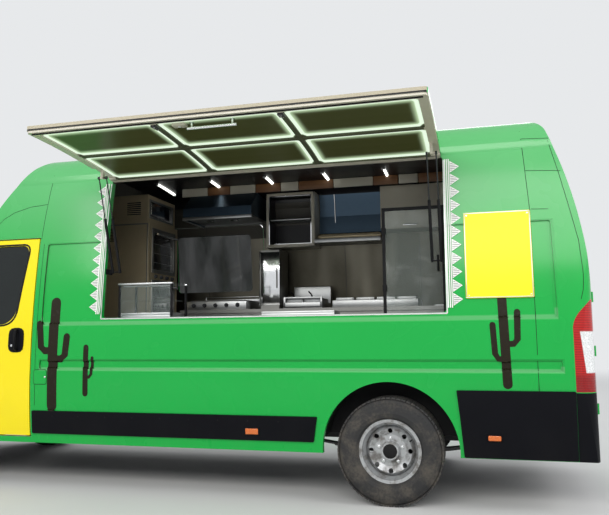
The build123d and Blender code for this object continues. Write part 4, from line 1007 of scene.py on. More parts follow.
LINED_NODES = {
    "side_left": ("body_green", "kitchen_wall", away), "side_right": ("body_green", "kitchen_wall", away),
    "roof": ("body_green", "dark_ceiling", away), "cab_shell": ("body_green", "pale_trim", away),
    "rear_frame": ("body_green", "cab_trim", away), "sliding_door": ("body_green", "kitchen_wall", away),
    "cab_door_left": ("door_yellow", "cab_trim", lambda p: Vector((0, -1, 0))),
    "cab_door_right": ("door_yellow", "cab_trim", lambda p: Vector((0, 1, 0))),
    "rear_door_left": ("body_green", "cab_trim", lambda p: Vector((1, 0, 0))),
    "rear_door_right": ("body_green", "cab_trim", lambda p: Vector((1, 0, 0))),
    "hatch_lid": ("hatch_green", "cream_enamel", lambda p: Vector((0, 0, 1))),
}


def coat(node, names, choose):
    """Gives a CAD node several finishes; choose picks one by a face's middle and normal, in the van's axes."""
    mesh = NODES[node].data
    mesh.materials.clear()
    for name in names:
        mesh.materials.append(finish(name))
    for face in mesh.polygons:
        face.material_index = choose(face.center + ORIGIN, face.normal)


RIM_WIDTH = 0.074
PANELS_REACH = (0.085, 1.075)


def hatch_rim(point, normal):
    """0 on the hatch's cream outer rim, 1 on the dark ribs between the panels."""
    reach = math.hypot(point.y - HINGE.y, point.z - HINGE.z)
    between_ends = HATCH_X[0] + RIM_WIDTH <= point.x <= HATCH_X[1] - RIM_WIDTH
    return 1 if between_ends and PANELS_REACH[0] <= reach <= PANELS_REACH[1] else 0


def left_wall_part(point, normal):
    """0 on the paint outside, 1 on the lining, 2 on the black brackets that carry the struts."""
    inside = HATCH_X[0] + 0.0004 < point.x < HATCH_X[1] - 0.0004
    if inside and 1.670 < point.z < 1.735 and point.y > -0.966:
        return 2
    return 1 if normal.dot(away(point)) < INWARD else 0


def wall_unit_part(point, normal):
    # Painted shade: the wall cabinet's inside takes the near-black lining finish.
    if 3.575 < point.x < 4.045 and 2.066 < point.z < 2.584 and normal.y < 0.5:
        return 3
    if point.x < 4.061 or point.x > 4.721:
        return 0
    return 1 if point.z > 2.15 else 2


def finish_shell():
    for name, nodes in PLAIN_NODES.items():
        for node in nodes:
            coat(node, [name], lambda p, n: 0)
    for node, (outer, inner, outwards) in LINED_NODES.items():
        coat(node, [outer, inner], lambda p, n, o=outwards: 1 if n.dot(o(p)) < INWARD else 0)
    coat("side_left", ["body_green", "kitchen_wall", "seal_rubber"], left_wall_part)
    coat("hatch_frame", ["cream_enamel", "lid_rib"], hatch_rim)
    # The fourth finish, the near-black lining, is painted shade inside the wall cabinet.
    coat("wall_units", ["cream_enamel", "dark_steel", "steel_sheet", "dark_ceiling"], wall_unit_part)


# Livery on the serving side
BORDER_Z = (1.372, 2.430)
BOARD = (5.536, 5.984, 1.424, 2.030)
EDGING = 0.011
LEFT_WALL = ("side_left", "cab_shell", "roof", "rear_frame", "side_mouldings")


def lay_livery():
    s = settings()
    low, high = BORDER_Z
    pitch = (high - low) / s.triangle_count
    triangles, stripes = [], []
    for edge, out in ((HATCH_X[0], -1), (HATCH_X[1], 1)):
        base = edge + out * 0.050
        for i in range(s.triangle_count):
            z = low + i * pitch
            triangles.append([(base, z + 0.003), (base + out * s.triangle_width, z + pitch / 2),
                              (base, z + pitch - 0.003)])
        for n in range(3):
            x = edge + out * (0.012 + n * 0.0135)
            stripes.append([(x, low - 0.01), (x + out * s.stripe_width, low - 0.01),
                            (x + out * s.stripe_width, high + 0.01), (x, high + 0.01)])
    drape("triangle_border", triangles, -1, LEFT_WALL, "triangle_hatch", "root", fine=0.05,
          mark_edges=True)
    drape("upright_stripes", stripes, -1, LEFT_WALL, "stripe_white", "root", fine=0.12)
    small = [
        stroke([(2.590, 0.740), (2.590, 1.100)], 0.046),
        stroke([(2.590, 0.868), (2.622, 0.868), (2.641, 0.890), (2.648, 1.018)], 0.026),
    ]
    large = [
        stroke([(2.288, 0.640), (2.288, 1.460)], 0.088),
        stroke([(2.288, 1.075), (2.215, 1.075), (2.178, 1.105), (2.158, 1.290)], 0.058),
        stroke([(2.288, 1.010), (2.362, 1.010), (2.400, 1.040), (2.412, 1.185)], 0.058),
    ]
    rear = [
        stroke([(5.788, 0.842), (5.772, 1.413)], 0.062),
        stroke([(5.780, 1.010), (5.735, 1.012), (5.714, 1.045), (5.704, 1.240)], 0.040),
        stroke([(5.784, 1.110), (5.838, 1.112), (5.862, 1.140), (5.868, 1.325)], 0.042),
    ]
    board = Form()
    face = on_side(-1, "menu_board")
    x0, x1, z0, z1 = BOARD
    for a, b, c, d in ((x0, x1, z0, z0 + EDGING), (x0, x1, z1 - EDGING, z1), (x0, x0 + EDGING, z0, z1),
                       (x1 - EDGING, x1, z0, z1)):
        bar = box_strip(a + 0.003, b - 0.003, c + 0.003, d - 0.003, 0.0004, 8)
        pad(board, bar, face, "steel_sheet", 0.0025, inset=0.0008)
    for x in (x0 + 0.020, x1 - 0.020):
        for z in (z0 + 0.020, z1 - 0.020):
            point, normal = face(x, z)
            board.lathe([(0, 0.0016), (0.0035, 0.0018), (0.0050, 0.0008), (0.0050, -0.0010), (0, -0.0010)], point,
                        normal, "polished", 14)
    board.piece("board_edging", "root")
    for name, outlines in {"cactus_by_door": large, "cactus_small": small, "cactus_by_lamp": rear}.items():
        for i, outline in enumerate(outlines):
            drape(f"{name}_{i}", [outline], -1, LEFT_WALL, "cactus_brown", "root",
                  lift=0.0008 + 0.0002 * i, fine=0.011)


def ribbon(mesh, line, side, nodes, width=0.0035, lift=0.0006, step=0.06):
    """A narrow band along a line in (x, z), lying on a side wall."""
    points = []
    for a, b in zip(line, line[1:]):
        count = max(1, round(math.hypot(b[0] - a[0], b[1] - a[1]) / step))
        points += [Vector(a).lerp(Vector(b), n / count) for n in range(count)]
    points.append(Vector(line[-1]))
    edges = []
    for ends in zip(*both_sides(points, width)):
        places = [skin(q.x, q.y, side, *nodes) for q in ends]
        edges.append([mesh.verts.new(point + normal * lift) for point, normal in places])
    for (a, b), (c, d) in zip(edges, edges[1:]):
        face = mesh.faces.new([a, b, d, c])
        face.normal_update()
        if face.normal.y * side < 0:
            face.normal_flip()


def draw_seams():
    """Dark joint lines where the van's pressings meet."""
    both = [
        [(2.098, 2.000), (2.110, 2.200), (2.125, 2.420), (2.150, 2.620)],
        [(1.640, 2.130), (1.700, 2.190), (1.800, 2.245), (1.950, 2.285), (2.115, 2.300)],
        [(5.968, 2.316), (6.200, 2.300)],
        [(5.952, 2.556), (6.135, 2.546)],
        [(5.990, 2.034), (6.105, 2.029)],
        [(6.276, 1.402), (6.294, 1.470), (6.300, 1.565), (6.285, 1.800), (6.240, 2.030), (6.184, 2.300),
         (6.130, 2.530)],
    ]
    serving = [
        [(5.985, 0.800), (5.985, 1.400), (5.985, 2.000), (5.960, 2.420), (5.945, 2.620)],
        [(2.130, 1.955), (2.130, 0.640)],
    ]
    for side, name, lines in ((-1, "left", both + serving), (1, "right", both)):
        walls = LEFT_WALL if side < 0 else ("side_right", "sliding_door", "cab_shell", "roof", "rear_frame")
        form = Form(None, "seal_rubber")
        for line in lines:
            ribbon(form.mesh, line, side, walls)
        form.piece(f"joint_lines_{name}", "root")


def strip_on_wall(form, outline, side, nodes, name, thick, under=0.001):
    """A raised strip whose outline in (x, z) follows a side wall, added to a form."""
    part = bmesh.new()
    outer, inner = [], []
    for x, z in outline:
        point, normal = skin(x, z, side, *nodes)
        outer.append(part.verts.new(point + normal * thick))
        inner.append(part.verts.new(point - normal * under))
    count = len(outline)
    half = count // 2
    for i in range(half - 1):
        j = count - 1 - i
        part.faces.new([outer[i], outer[i + 1], outer[j - 1], outer[j]])
        part.faces.new([inner[i], inner[j], inner[j - 1], inner[i + 1]])
    for i in range(count):
        j = (i + 1) % count
        part.faces.new([outer[i], inner[i], inner[j], outer[j]])
    form._take(part, name)


def edge_run(a, b, width, step=0.07):
    """An outline along a line in (x, z), cut into even steps, for strip_on_wall."""
    a, b = Vector(a), Vector(b)
    count = max(1, round((b - a).length / step))
    d = (b - a).normalized()
    n = Vector((-d.y, d.x)) * width / 2
    left = [a + (b - a) * i / count + n for i in range(count + 1)]
    right = [a + (b - a) * i / count - n for i in range(count + 1)]
    return [tuple(p) for p in left + right[::-1]]


def trim_opening():
    """Bright edging round the serving opening, and its steel sill with a row of screws."""
    form = Form()
    x0, x1 = HATCH_X[0] - 0.006, HATCH_X[1] + 0.006
    z0, z1 = HATCH_Z[0] - 0.006, HATCH_Z[1] - 0.030
    for start, end, width in (((x0, z0), (x0, z1), 0.009), ((x1, z0), (x1, z1), 0.009), ((x0, z0), (x1, z0), 0.010)):
        strip_on_wall(form, edge_run(start, end, width), -1, ("side_left",), "steel_sheet", 0.003)
    form.slab((HATCH_X[0] + 0.012, -0.935, SILL - 0.004), (HATCH_X[1] - 0.012, -0.560, SILL), "steel_sheet", 0.0015)
    form.slab((HATCH_X[0] + 0.020, -0.566, 1.296), (HATCH_X[1] + 0.380, -0.556, SILL), "steel_sheet", 0.002)
    form.piece("opening_trim", "root")
    row("sill_screws", screw_head(0.0035, 0.0012), 19, (2.78, -1.0085, 1.322), (0.14, 0, 0), "root", "steel")


# Hatch
HANDLE_REACH = 1.035


def hatch_point(x, reach, drop=0.0):
    """A point under the open hatch: x, distance from the hinge line along the hatch, and depth below its frame."""
    tilt = math.atan2(2.592 - HINGE.z, 2.010 + HINGE.y)
    place = (x, HINGE.y - reach * math.cos(tilt), INSIDE_Z)
    point, normal = touch(place, (0, 0, 1), "hatch_frame", "hatch_panels", "hatch_lid")
    return point + normal * drop, normal


def paint_panel_glow():
    """The six panels, with their own UV map so that each takes a painted glow from its edges."""
    source = NODES["hatch_panels"]
    mesh = bmesh.new()
    mesh.from_mesh(source.data)
    bmesh.ops.remove_doubles(mesh, verts=mesh.verts[:], dist=0.00005)
    uv = mesh.loops.layers.uv.active or mesh.loops.layers.uv.new("UVMap")
    left = set(mesh.faces)
    while left:
        island, stack = set(), [left.pop()]
        while stack:
            face = stack.pop()
            island.add(face)
            for edge in face.edges:
                for other in edge.link_faces:
                    if other in left:
                        left.discard(other)
                        stack.append(other)
        places = {}
        for face in island:
            for v in face.verts:
                p = v.co + ORIGIN
                places[v] = (p.x, math.hypot(p.y - HINGE.y, p.z - HINGE.z))
        xs = [p[0] for p in places.values()]
        ts = [p[1] for p in places.values()]
        for face in island:
            for loop in face.loops:
                x, t = places[loop.vert]
                loop[uv].uv = ((x - min(xs)) / (max(xs) - min(xs)), (t - min(ts)) / (max(ts) - min(ts)))
    bmesh.ops.translate(mesh, verts=mesh.verts[:], vec=ORIGIN)
    for face in mesh.faces:
        face.material_index = 0
    Form(mesh, "painted_glow_panel").piece("lit_panels", "hatch", ["hatch_panels"])


def fit_hatch():
    paint_panel_glow()
    form = Form()
    ends = []
    for x in (3.875, 4.155):
        foot, normal = hatch_point(x, HANDLE_REACH)
        form.rod(foot + normal * 0.0005, foot + normal * 0.040, 0.007, "polished")
        form.lathe([(0, 0), (0.016, 0), (0.016, 0.003), (0.011, 0.006), (0, 0.006)], foot, normal, "polished", 20)
        ends.append(foot + normal * 0.040)
    along = (ends[1] - ends[0]).normalized()
    form.tube([ends[0] - along * 0.03, ends[0], ends[1], ends[1] + along * 0.03], 0.0095, "polished", 16)
    foot, _ = hatch_point(3.79, HANDLE_REACH)
    form.slab(foot + Vector((-0.045, -0.030, 0)) - Vector((0, 0, 0.022)), foot + Vector((0.045, 0.030, 0)),
              "cream_enamel", 0.005)
    form.lathe([(0, 0), (0.013, 0), (0.013, 0.004), (0.009, 0.007), (0, 0.007)], foot - Vector((0, 0, 0.022)),
               (0, 0, -1), "polished", 20)
    form.piece("hatch_handle", "hatch")
    form = Form()
    for x in (3.625, 4.485):
        foot, _ = hatch_point(x, 1.055)
        form.slab((-0.020, -0.030, -0.012), (0.020, 0.030, 0.0), "rough_steel", 0.003, at=foot)
        form.rod((0, -0.02, -0.012), (0, 0.035, -0.012), 0.007, "polished", at=foot)
    form.piece("hatch_catches", "hatch")
    outer = Form()
    ends = [hatch_point(x, 1.128, 0.004)[0] for x in (2.75, 5.36)]
    outer.tube(ends, 0.005, "seal_rubber", 8)
    outer.piece("hatch_seal", "hatch")
    head = screw_head(0.004, 0.0015, (0, 0, -1))
    start, end = (hatch_point(x, 1.108, 0.0012)[0] for x in (2.80, 5.31))
    row("hatch_rim_screws", head, 18, start, (end - start) / 17, "hatch", "steel")


# Running gear
def tyre_profile():
    """Half section of the carcass with shoulder, rim guard and bead, as (radius, y)."""
    groove = TYRE_R - settings().tread_depth
    profile = [
        (0.2215, -0.0850), (0.2225, -0.0905), (0.2300, -0.0955), (0.2350, -0.1040), (0.2480, -0.1072),
               (0.2600, -0.1100),
        (0.2635, -0.1112), (0.2670, -0.1104), (0.2900, -0.1122), (0.3130, -0.1110), (0.3280, -0.1080),
               (0.3400, -0.1030),
        (0.3490, -0.0975), (0.3560, -0.0935), (groove - 0.0025, -0.0860), (groove, -0.0300),
    ]
    return profile + [(r, -y) for r, y in profile[::-1]] + [(0.2150, 0.0780), (0.2150, -0.0780)]


def tread_block(low, high, start, length, slant, depth):
    """One tread block on the top of a wheel at the origin; slant leans its ends."""
    form = Form()
    part = bmesh.new()
    def radius(y):
        return TYRE_R - 0.0003 - 0.016 * max(0.0, abs(y) - 0.045) ** 1.2
    rings = []
    for depth_here, shrink in ((depth + 0.003, -0.0008), (0.0, 0.0006)):
        ring = []
        for y, x in ((low, start), (high, start + slant), (high, start + slant + length), (low, start + length)):
            cx = start + slant / 2 + length / 2
            cy = (low + high) / 2
            px = x + (cx - x) * (shrink / max(0.004, abs(cx - x)) if cx != x else 0)
            py = y + (cy - y) * (shrink / max(0.004, abs(cy - y)) if cy != y else 0)
            r = radius(y) - depth_here
            ring.append(part.verts.new((px, py, math.sqrt(max(0.0, r * r - px * px)))))
        rings.append(ring)
    base, top = rings
    part.faces.new(top)
    part.faces.new(base[::-1])
    span(part, rings)
    form._take(part, "tyre_rubber")
    return form


def join_objects(objects, name):
    """One plain mesh object out of several, keeping their materials."""
    mesh = bmesh.new()
    materials = []
    for made in objects:
        start = len(mesh.faces)
        mesh.from_mesh(made.data)
        mesh.faces.ensure_lookup_table()
        table = []
        for material in made.data.materials:
            if material not in materials:
                materials.append(material)
            table.append(materials.index(material))
        for face in mesh.faces[start:]:
            face.material_index = table[face.material_index] if table else 0
    result = bpy.data.meshes.new(name)
    mesh.to_mesh(result)
    mesh.free()
    for material in materials:
        result.materials.append(material)
    result.set_sharp_from_angle(angle=SHARP_ANGLE)
    for made in objects:
        bpy.data.objects.remove(made)
    return placed(name, result)


TREAD_ROWS = ((-0.1000, -0.0640, 0.006), (-0.0585, -0.0240, -0.005), (-0.0185, 0.0185, 0.004), (0.0240, 0.0585, -0.005),
              (0.0640, 0.1000, 0.006))


SHOULDER_RIBS = 72
WHEEL_BOLTS = 5


def fit_tyre(where, body):
    node = f"tyre_{where}"
    centre = middle(node) + ORIGIN
    s = settings()
    carcass = Form()
    carcass.lathe(tyre_profile(), centre, (0, 1, 0), "tyre_rubber", 96)
    parts = [carcass.object(node + "_carcass")]
    pitch = 2 * math.pi * TYRE_R / s.tread_pitches
    for n, (low, high, slant) in enumerate(TREAD_ROWS):
        start = -pitch / 2 + (0.5 * pitch if n % 2 else 0.0)
        block = tread_block(low, high, start, pitch * 0.84, slant, s.tread_depth)
        step = (0, 2 * math.pi / s.tread_pitches, 0)
        parts.append(repeated(block, s.tread_pitches, centre, step, turning=True))
    rib = Form()
    for side in SIDES:
        rib.slab((-0.0012, side * 0.1105 - 0.0014, 0.318), (0.0012, side * 0.1105 + 0.0014, 0.336), "tyre_rubber",
                 0.0005)
    parts.append(repeated(rib, SHOULDER_RIBS, centre, (0, 2 * math.pi / SHOULDER_RIBS, 0), turning=True))
    settle(join_objects(parts, f"tread_{where}"), body, [node])


def fit_wheel(where, body):
    centre = middle(f"tyre_{where}") + ORIGIN
    side = -1 if "left" in where else 1
    out = Vector((0, side, 0))
    bolt = Form()
    hex_outline = ring_points(6, (0.0, 0.086), 0.0115)
    y0, y1 = sorted((side * 0.036, side * 0.056))
    bolt.prism(hex_outline, "Y", y0, y1, "polished", 0.0012)
    step = (0, 2 * math.pi / WHEEL_BOLTS, 0)
    row(f"wheel_bolts_{where}", bolt, WHEEL_BOLTS, centre, step, body, "rim", turning=True)
    cap = Form()
    cap.lathe([(0, 0.0955), (0.020, 0.0950), (0.040, 0.0905), (0.050, 0.084), (0.0535, 0.070), (0.0535, 0.046),
               (0.0480, 0.046), (0.0480, 0.066), (0, 0.078)], centre, out, "seal_rubber", 40)
    stem = centre + Vector((0.150, side * 0.052, 0.078))
    cap.tube([stem, stem + Vector((-0.006, side * 0.016, -0.004)), stem + Vector((-0.010, side * 0.034, -0.007))],
             0.0042, "seal_rubber", 10)
    cap.piece(f"wheel_cap_{where}", body)
    weight = Form()
    weight.slab((-0.021, side * 0.082 - 0.003, 0.1865), (0.021, side * 0.082 + 0.003, 0.1925), "casting", 0.0015)
    row(f"balance_weight_{where}", weight, 1, centre, (0, 0, 0), body, "rim", turning=True)


def fit_brakes():
    """Discs and calipers behind the front wheels, on the knuckles."""
    for where, knuckle in (("front_left", "knuckle_l"), ("front_right", "knuckle_r")):
        centre = middle(f"tyre_{where}") + ORIGIN
        side = -1 if "left" in where else 1
        form = Form()
        out = Vector((0, side, 0))
        form.lathe([(0.070, -0.052), (0.150, -0.052), (0.150, -0.028), (0.070, -0.028)], centre, out, "disc_iron", 64)
        form.prism(rounded([(centre.x - 0.150, centre.z + 0.045), (centre.x - 0.072, centre.z + 0.045),
                            (centre.x - 0.072, centre.z - 0.060), (centre.x - 0.150, centre.z - 0.060)], 0.02), "Y",
                   centre.y - side * 0.078, centre.y - side * 0.002, "casting", 0.006)
        form.piece(f"brake_disc_{where}", knuckle)


def roll_wheels():
    for where, body in WHEELS.items():
        fit_tyre(where, body)
        fit_wheel(where, body)
    fit_brakes()


# Pieces laid on the outside
def pad(form, outline, project, name, thick, dome=0.0, under=0.001, inset=0.004):
    """A low pad with softened edges on a curved surface; project gives the surface's point and normal."""
    part = bmesh.new()
    middle_a = sum(a for a, _ in outline) / len(outline)
    middle_b = sum(b for _, b in outline) / len(outline)
    rings = []
    levels = ((0.0, -under), (0.0, thick * 0.55), (inset * 0.35, thick * 0.9), (inset, thick))
    for shrink, height in levels:
        ring = []
        for a, b in outline:
            d = Vector((middle_a - a, middle_b - b))
            d = d.normalized() * min(shrink, d.length * 0.8)
            point, normal = project(a + d.x, b + d.y)
            ring.append(part.verts.new(point + normal * height))
        rings.append(ring)
    ring = []
    for a, b in outline:
        point, normal = project((a + middle_a) / 2, (b + middle_b) / 2)
        ring.append(part.verts.new(point + normal * (thick + dome * 0.75)))
    rings.append(ring)
    span(part, rings)
    point, normal = project(middle_a, middle_b)
    top = part.verts.new(point + normal * (thick + dome))
    for i in range(len(outline)):
        part.faces.new([rings[-1][i], rings[-1][(i + 1) % len(outline)], top])
    part.faces.new(rings[0][::-1])
    form._take(part, name)


def lip(form, corners, wall, name, width=0.015):
    """A rubber lip on a panel round a window; the corners run round the hole in (x, z)."""
    outline = []
    for p, q in zip(corners, corners[1:] + corners[:1]):
        count = max(1, round(math.hypot(q[0] - p[0], q[1] - p[1]) / 0.06))
        outline += [Vector(p).lerp(Vector(q), n / count) for n in range(count)]
    turn = sum(p.x * q.y - q.x * p.y for p, q in zip(outline, outline[1:] + outline[:1]))
    part = bmesh.new()
    rings = []
    for reach, rise in ((0.0, -0.004), (0.0, 0.002), (0.3, 0.0035), (0.7, 0.0032), (1.0, 0.001), (1.0, -0.001)):
        ring = []
        for i, p in enumerate(outline):
            d = (outline[(i + 1) % len(outline)] - outline[i - 1]).normalized()
            out = Vector((d.y, -d.x)) * (1 if turn > 0 else -1)
            place = p + out * (0.0015 + reach * width)
            point, normal = wall(place.x, place.y)
            ring.append(part.verts.new(point + normal * rise))
        rings.append(ring)
    rings.append(rings[0])
    span(part, rings)
    form._take(part, name)


def on_side(side, *nodes):
    return lambda x, z: skin(x, z, side, *nodes)


def on_rear(*nodes):
    return lambda y, z: touch((7.0, y, z), (-1, 0, 0), *nodes)


def on_front(*nodes):
    return lambda y, z: touch((-1.0, y, z), (1, 0, 0), *nodes)


def box_strip(a0, a1, b0, b1, radius=0.0, cuts=6):
    """A rounded rectangle whose straight sides are cut, so that a pad follows a curved panel."""
    corners = rounded([(a0, b0), (a1, b0), (a1, b1), (a0, b1)], radius or 0.002, 3)
    points = []
    for i, p in enumerate(corners):
        q = corners[(i + 1) % len(corners)]
        gap = math.hypot(q[0] - p[0], q[1] - p[1])
        count = max(1, min(cuts, int(gap / 0.03)))
        points += [(p[0] + (q[0] - p[0]) * n / count, p[1] + (q[1] - p[1]) * n / count) for n in range(count)]
    return points


def fit_doors():
    """Handles, locks and window seals on the cab doors, and the mirrors' glasses."""
    for side, name in ((-1, "left"), (1, "right")):
        door, body = f"cab_door_{name}", f"door_{name}"
        wall = on_side(side, door)
        form = Form()
        pad(form, box_strip(1.868, 2.012, 1.062, 1.262, 0.055), wall, "black_cladding", 0.007, dome=-0.004)
        top, normal = wall(1.948, 1.246)
        low, _ = wall(1.952, 1.080)
        out = Vector((0, side, 0))
        bar = [top + normal * 0.003, top + out * 0.024 - Vector((0, 0, 0.014)),
               top + out * 0.030 - Vector((0, 0, 0.045)), low + out * 0.030 + Vector((0, 0, 0.045)),
               low + out * 0.024 + Vector((0, 0, 0.014)), low + normal * 0.003]
        form.tube(bar, 0.0125, "black_cladding", 16)
        point, normal = wall(1.900, 1.118)
        form.lathe([(0, 0.0075), (0.0085, 0.0075), (0.010, 0.006), (0.010, -0.001), (0, -0.001)], point, normal,
                   "polished", 24)
        form.slab(point + normal * 0.0077 - Vector((0.0008, 0.0002, 0.004)),
                  point + normal * 0.0077 + Vector((0.0008, 0.0002, 0.004)), "seal_rubber", 0.0)
        form.piece(f"door_handle_{name}", body)
        seal = Form()
        corners = rounded([(1.998, 1.948), (1.908, 1.290), (1.345, 1.290), (1.295, 1.190), (1.195, 1.190),
                           (1.195, 1.520), (1.610, 1.948)], (0.060, 0.150, 0.022, 0.022, 0.022, 0.022, 0.022), 8)
        lip(seal, corners, wall, "seal_rubber")
        seal.piece(f"door_window_seal_{name}", body)
        mirror = Form()
        glass = lambda y, z: touch((3.0, y, z), (-1, 0, 0), f"mirror_{name}")
        y0, y1 = sorted((side * 1.085, side * 1.232))
        pad(mirror, box_strip(y0, y1, 1.405, 1.598, 0.022), glass, "mirror_glass", 0.0030, inset=0.002)
        pad(mirror, box_strip(y0, y1, 1.290, 1.388, 0.020), glass, "mirror_glass", 0.0030, dome=0.002, inset=0.002)
        mirror.piece(f"mirror_glass_{name}", body)


def fit_sides():
    """Side lamps, filler flap, power inlet, vent and moulding screws on the two side walls."""
    lamps = Form()
    for side in SIDES:
        wall = on_side(side, "side_mouldings")
        for x0, x1, z0, z1, radius, name, thick in (
                (3.918, 4.036, 0.457, 0.515, 0.008, "black_cladding", 0.005),
                (3.928, 4.026, 0.465, 0.507, 0.006, "marker_orange", 0.009),
                (5.640, 5.740, 0.462, 0.510, 0.008, "black_cladding", 0.005),
                (5.648, 5.732, 0.469, 0.503, 0.006, "marker_orange", 0.009)):
            pad(lamps, box_strip(x0, x1, z0, z1, radius), wall, name, thick)
        wing = on_side(side, "cab_shell")
        pad(lamps, box_strip(1.050, 1.096, 0.905, 0.930, 0.008, 3), wing, "marker_orange", 0.006, dome=0.002,
            inset=0.003)
    lamps.piece("side_lamps", "root")
    flap = Form()
    wall = on_side(-1, "side_left")
    pad(flap, box_strip(2.118, 2.240, 0.806, 0.926, 0.018), wall, "seal_rubber", 0.0008, inset=0.001)
    pad(flap, box_strip(2.122, 2.236, 0.810, 0.922, 0.016), wall, "body_green", 0.0024, inset=0.0015)
    point, normal = wall(2.224, 0.866)
    flap.lathe([(0, 0.0045), (0.006, 0.0045), (0.0075, 0.0035), (0.0075, 0.001), (0, 0.001)], point, normal, "polished",
               20)
    flap.piece("filler_flap", "root")
    inlet = Form()
    wall = on_side(1, "side_right")
    pad(inlet, box_strip(5.560, 5.700, 0.905, 1.045, 0.016), wall, "pale_trim", 0.008)
    pad(inlet, ring_points(28, (5.630, 0.975), 0.046), wall, "pale_trim", 0.020, dome=0.003)
    point, normal = wall(5.630, 1.030)
    inlet.rod((-0.022, 0.016, 0), (0.022, 0.016, 0), 0.0045, "polished", 12, at=point)
    inlet.piece("power_inlet", "root")
    vent = Form()
    pad(vent, box_strip(4.600, 5.000, 1.560, 1.820, 0.012), wall, "black_cladding", 0.005)
    vent.piece("vent_frame", "root")
    point, normal = wall(4.800, 1.600)
    slat = Form()
    lean = Matrix.Rotation(math.radians(-32), 3, "X")
    slat.slab((-0.180, -0.009, -0.0016), (0.180, 0.009, 0.0016), "black_cladding", 0.0012, turn=lean)
    row("vent_slats", slat, 10, point + Vector((0, 0.010, -0.015)), (0, 0, 0.0235), "root", "black_plastic")
    point, _ = skin(2.30, 0.560, -1, "side_mouldings")
    row("moulding_screws", screw_head(0.0055, 0.0020, name="seal_rubber"), 9, point, (0.235, 0, 0), "root",
        "black_plastic")


def fit_rear():
    """Handle, blank plate, brake lamp, reflectors, step tread and window seals at the back."""
    wall = on_rear("rear_door_left")
    form = Form()
    pad(form, box_strip(-0.150, -0.050, 1.055, 1.235, 0.030), wall, "black_cladding", 0.006, dome=-0.003)
    top, _ = wall(-0.100, 1.218)
    low, _ = wall(-0.100, 1.072)
    out = Vector((1, 0, 0))
    form.tube([top, top + out * 0.020 - Vector((0, 0, 0.020)), low + out * 0.020 + Vector((0, 0, 0.020)), low], 0.010,
              "black_cladding", 14)
    pad(form, box_strip(-0.640, -0.180, 1.255, 1.296, 0.012), wall, "black_cladding", 0.016)
    pad(form, box_strip(-0.560, -0.470, 1.2565, 1.2580, 0.0004, 2), wall, "lamp_clear", 0.012)
    form.piece("rear_handle", "rear_door_l")
    plate = Form()
    pad(plate, box_strip(-0.672, -0.148, 1.110, 1.226, 0.010, 8), wall, "seal_rubber", 0.003)
    pad(plate, box_strip(-0.670, -0.150, 1.112, 1.224, 0.010, 8), wall, "blank_plate", 0.005, inset=0.0015)
    plate.piece("rear_blank_plate", "rear_door_l")
    lamp = Form()
    high = on_rear("rear_frame")
    pad(lamp, box_strip(-0.165, 0.165, 2.432, 2.462, 0.010), high, "black_cladding", 0.006)
    pad(lamp, box_strip(-0.155, 0.155, 2.437, 2.457, 0.008), high, "marker_red", 0.010)
    lamp.piece("high_brake_lamp", "root")
    reflectors = Form()
    for side in SIDES:
        y0, y1 = sorted((side * 0.775, side * 0.905))
        pad(reflectors, box_strip(y0, y1, 0.452, 0.492, 0.008), on_rear("rear_bumper"), "marker_red", 0.005)
    reflectors.piece("rear_reflectors", "root")
    rib = Form()
    rib.slab((-0.040, -0.0022, -0.001), (0.028, 0.0022, 0.0022), "black_cladding", 0.0012)
    step, _ = touch((6.330, 0.0, 1.0), (0, 0, -1), "rear_bumper")
    row("step_tread", rib, 61, (6.318, -0.72, step.z), (0, 0.024, 0), "root", "black_plastic")
    for side, name, body in ((-1, "left", "rear_door_l"), (1, "right", "rear_door_r")):
        seal = Form()
        glass = on_rear(f"rear_door_{name}")
        y0, y1 = sorted((side * 0.096, side * 0.812))
        z0, z1 = 1.318, 1.912
        for (a, b), (c, d) in (((y0, z0), (y1, z0)), ((y0, z1), (y1, z1)), ((y0, z0), (y0, z1)), ((y1, z0), (y1, z1))):
            points = [glass(a + (c - a) * n / 8, b + (d - b) * n / 8)[0] + Vector((0.001, 0, 0)) for n in range(9)]
            seal.tube(points, 0.0035, "seal_rubber", 8)
        seal.piece(f"rear_glass_seal_{name}", body)


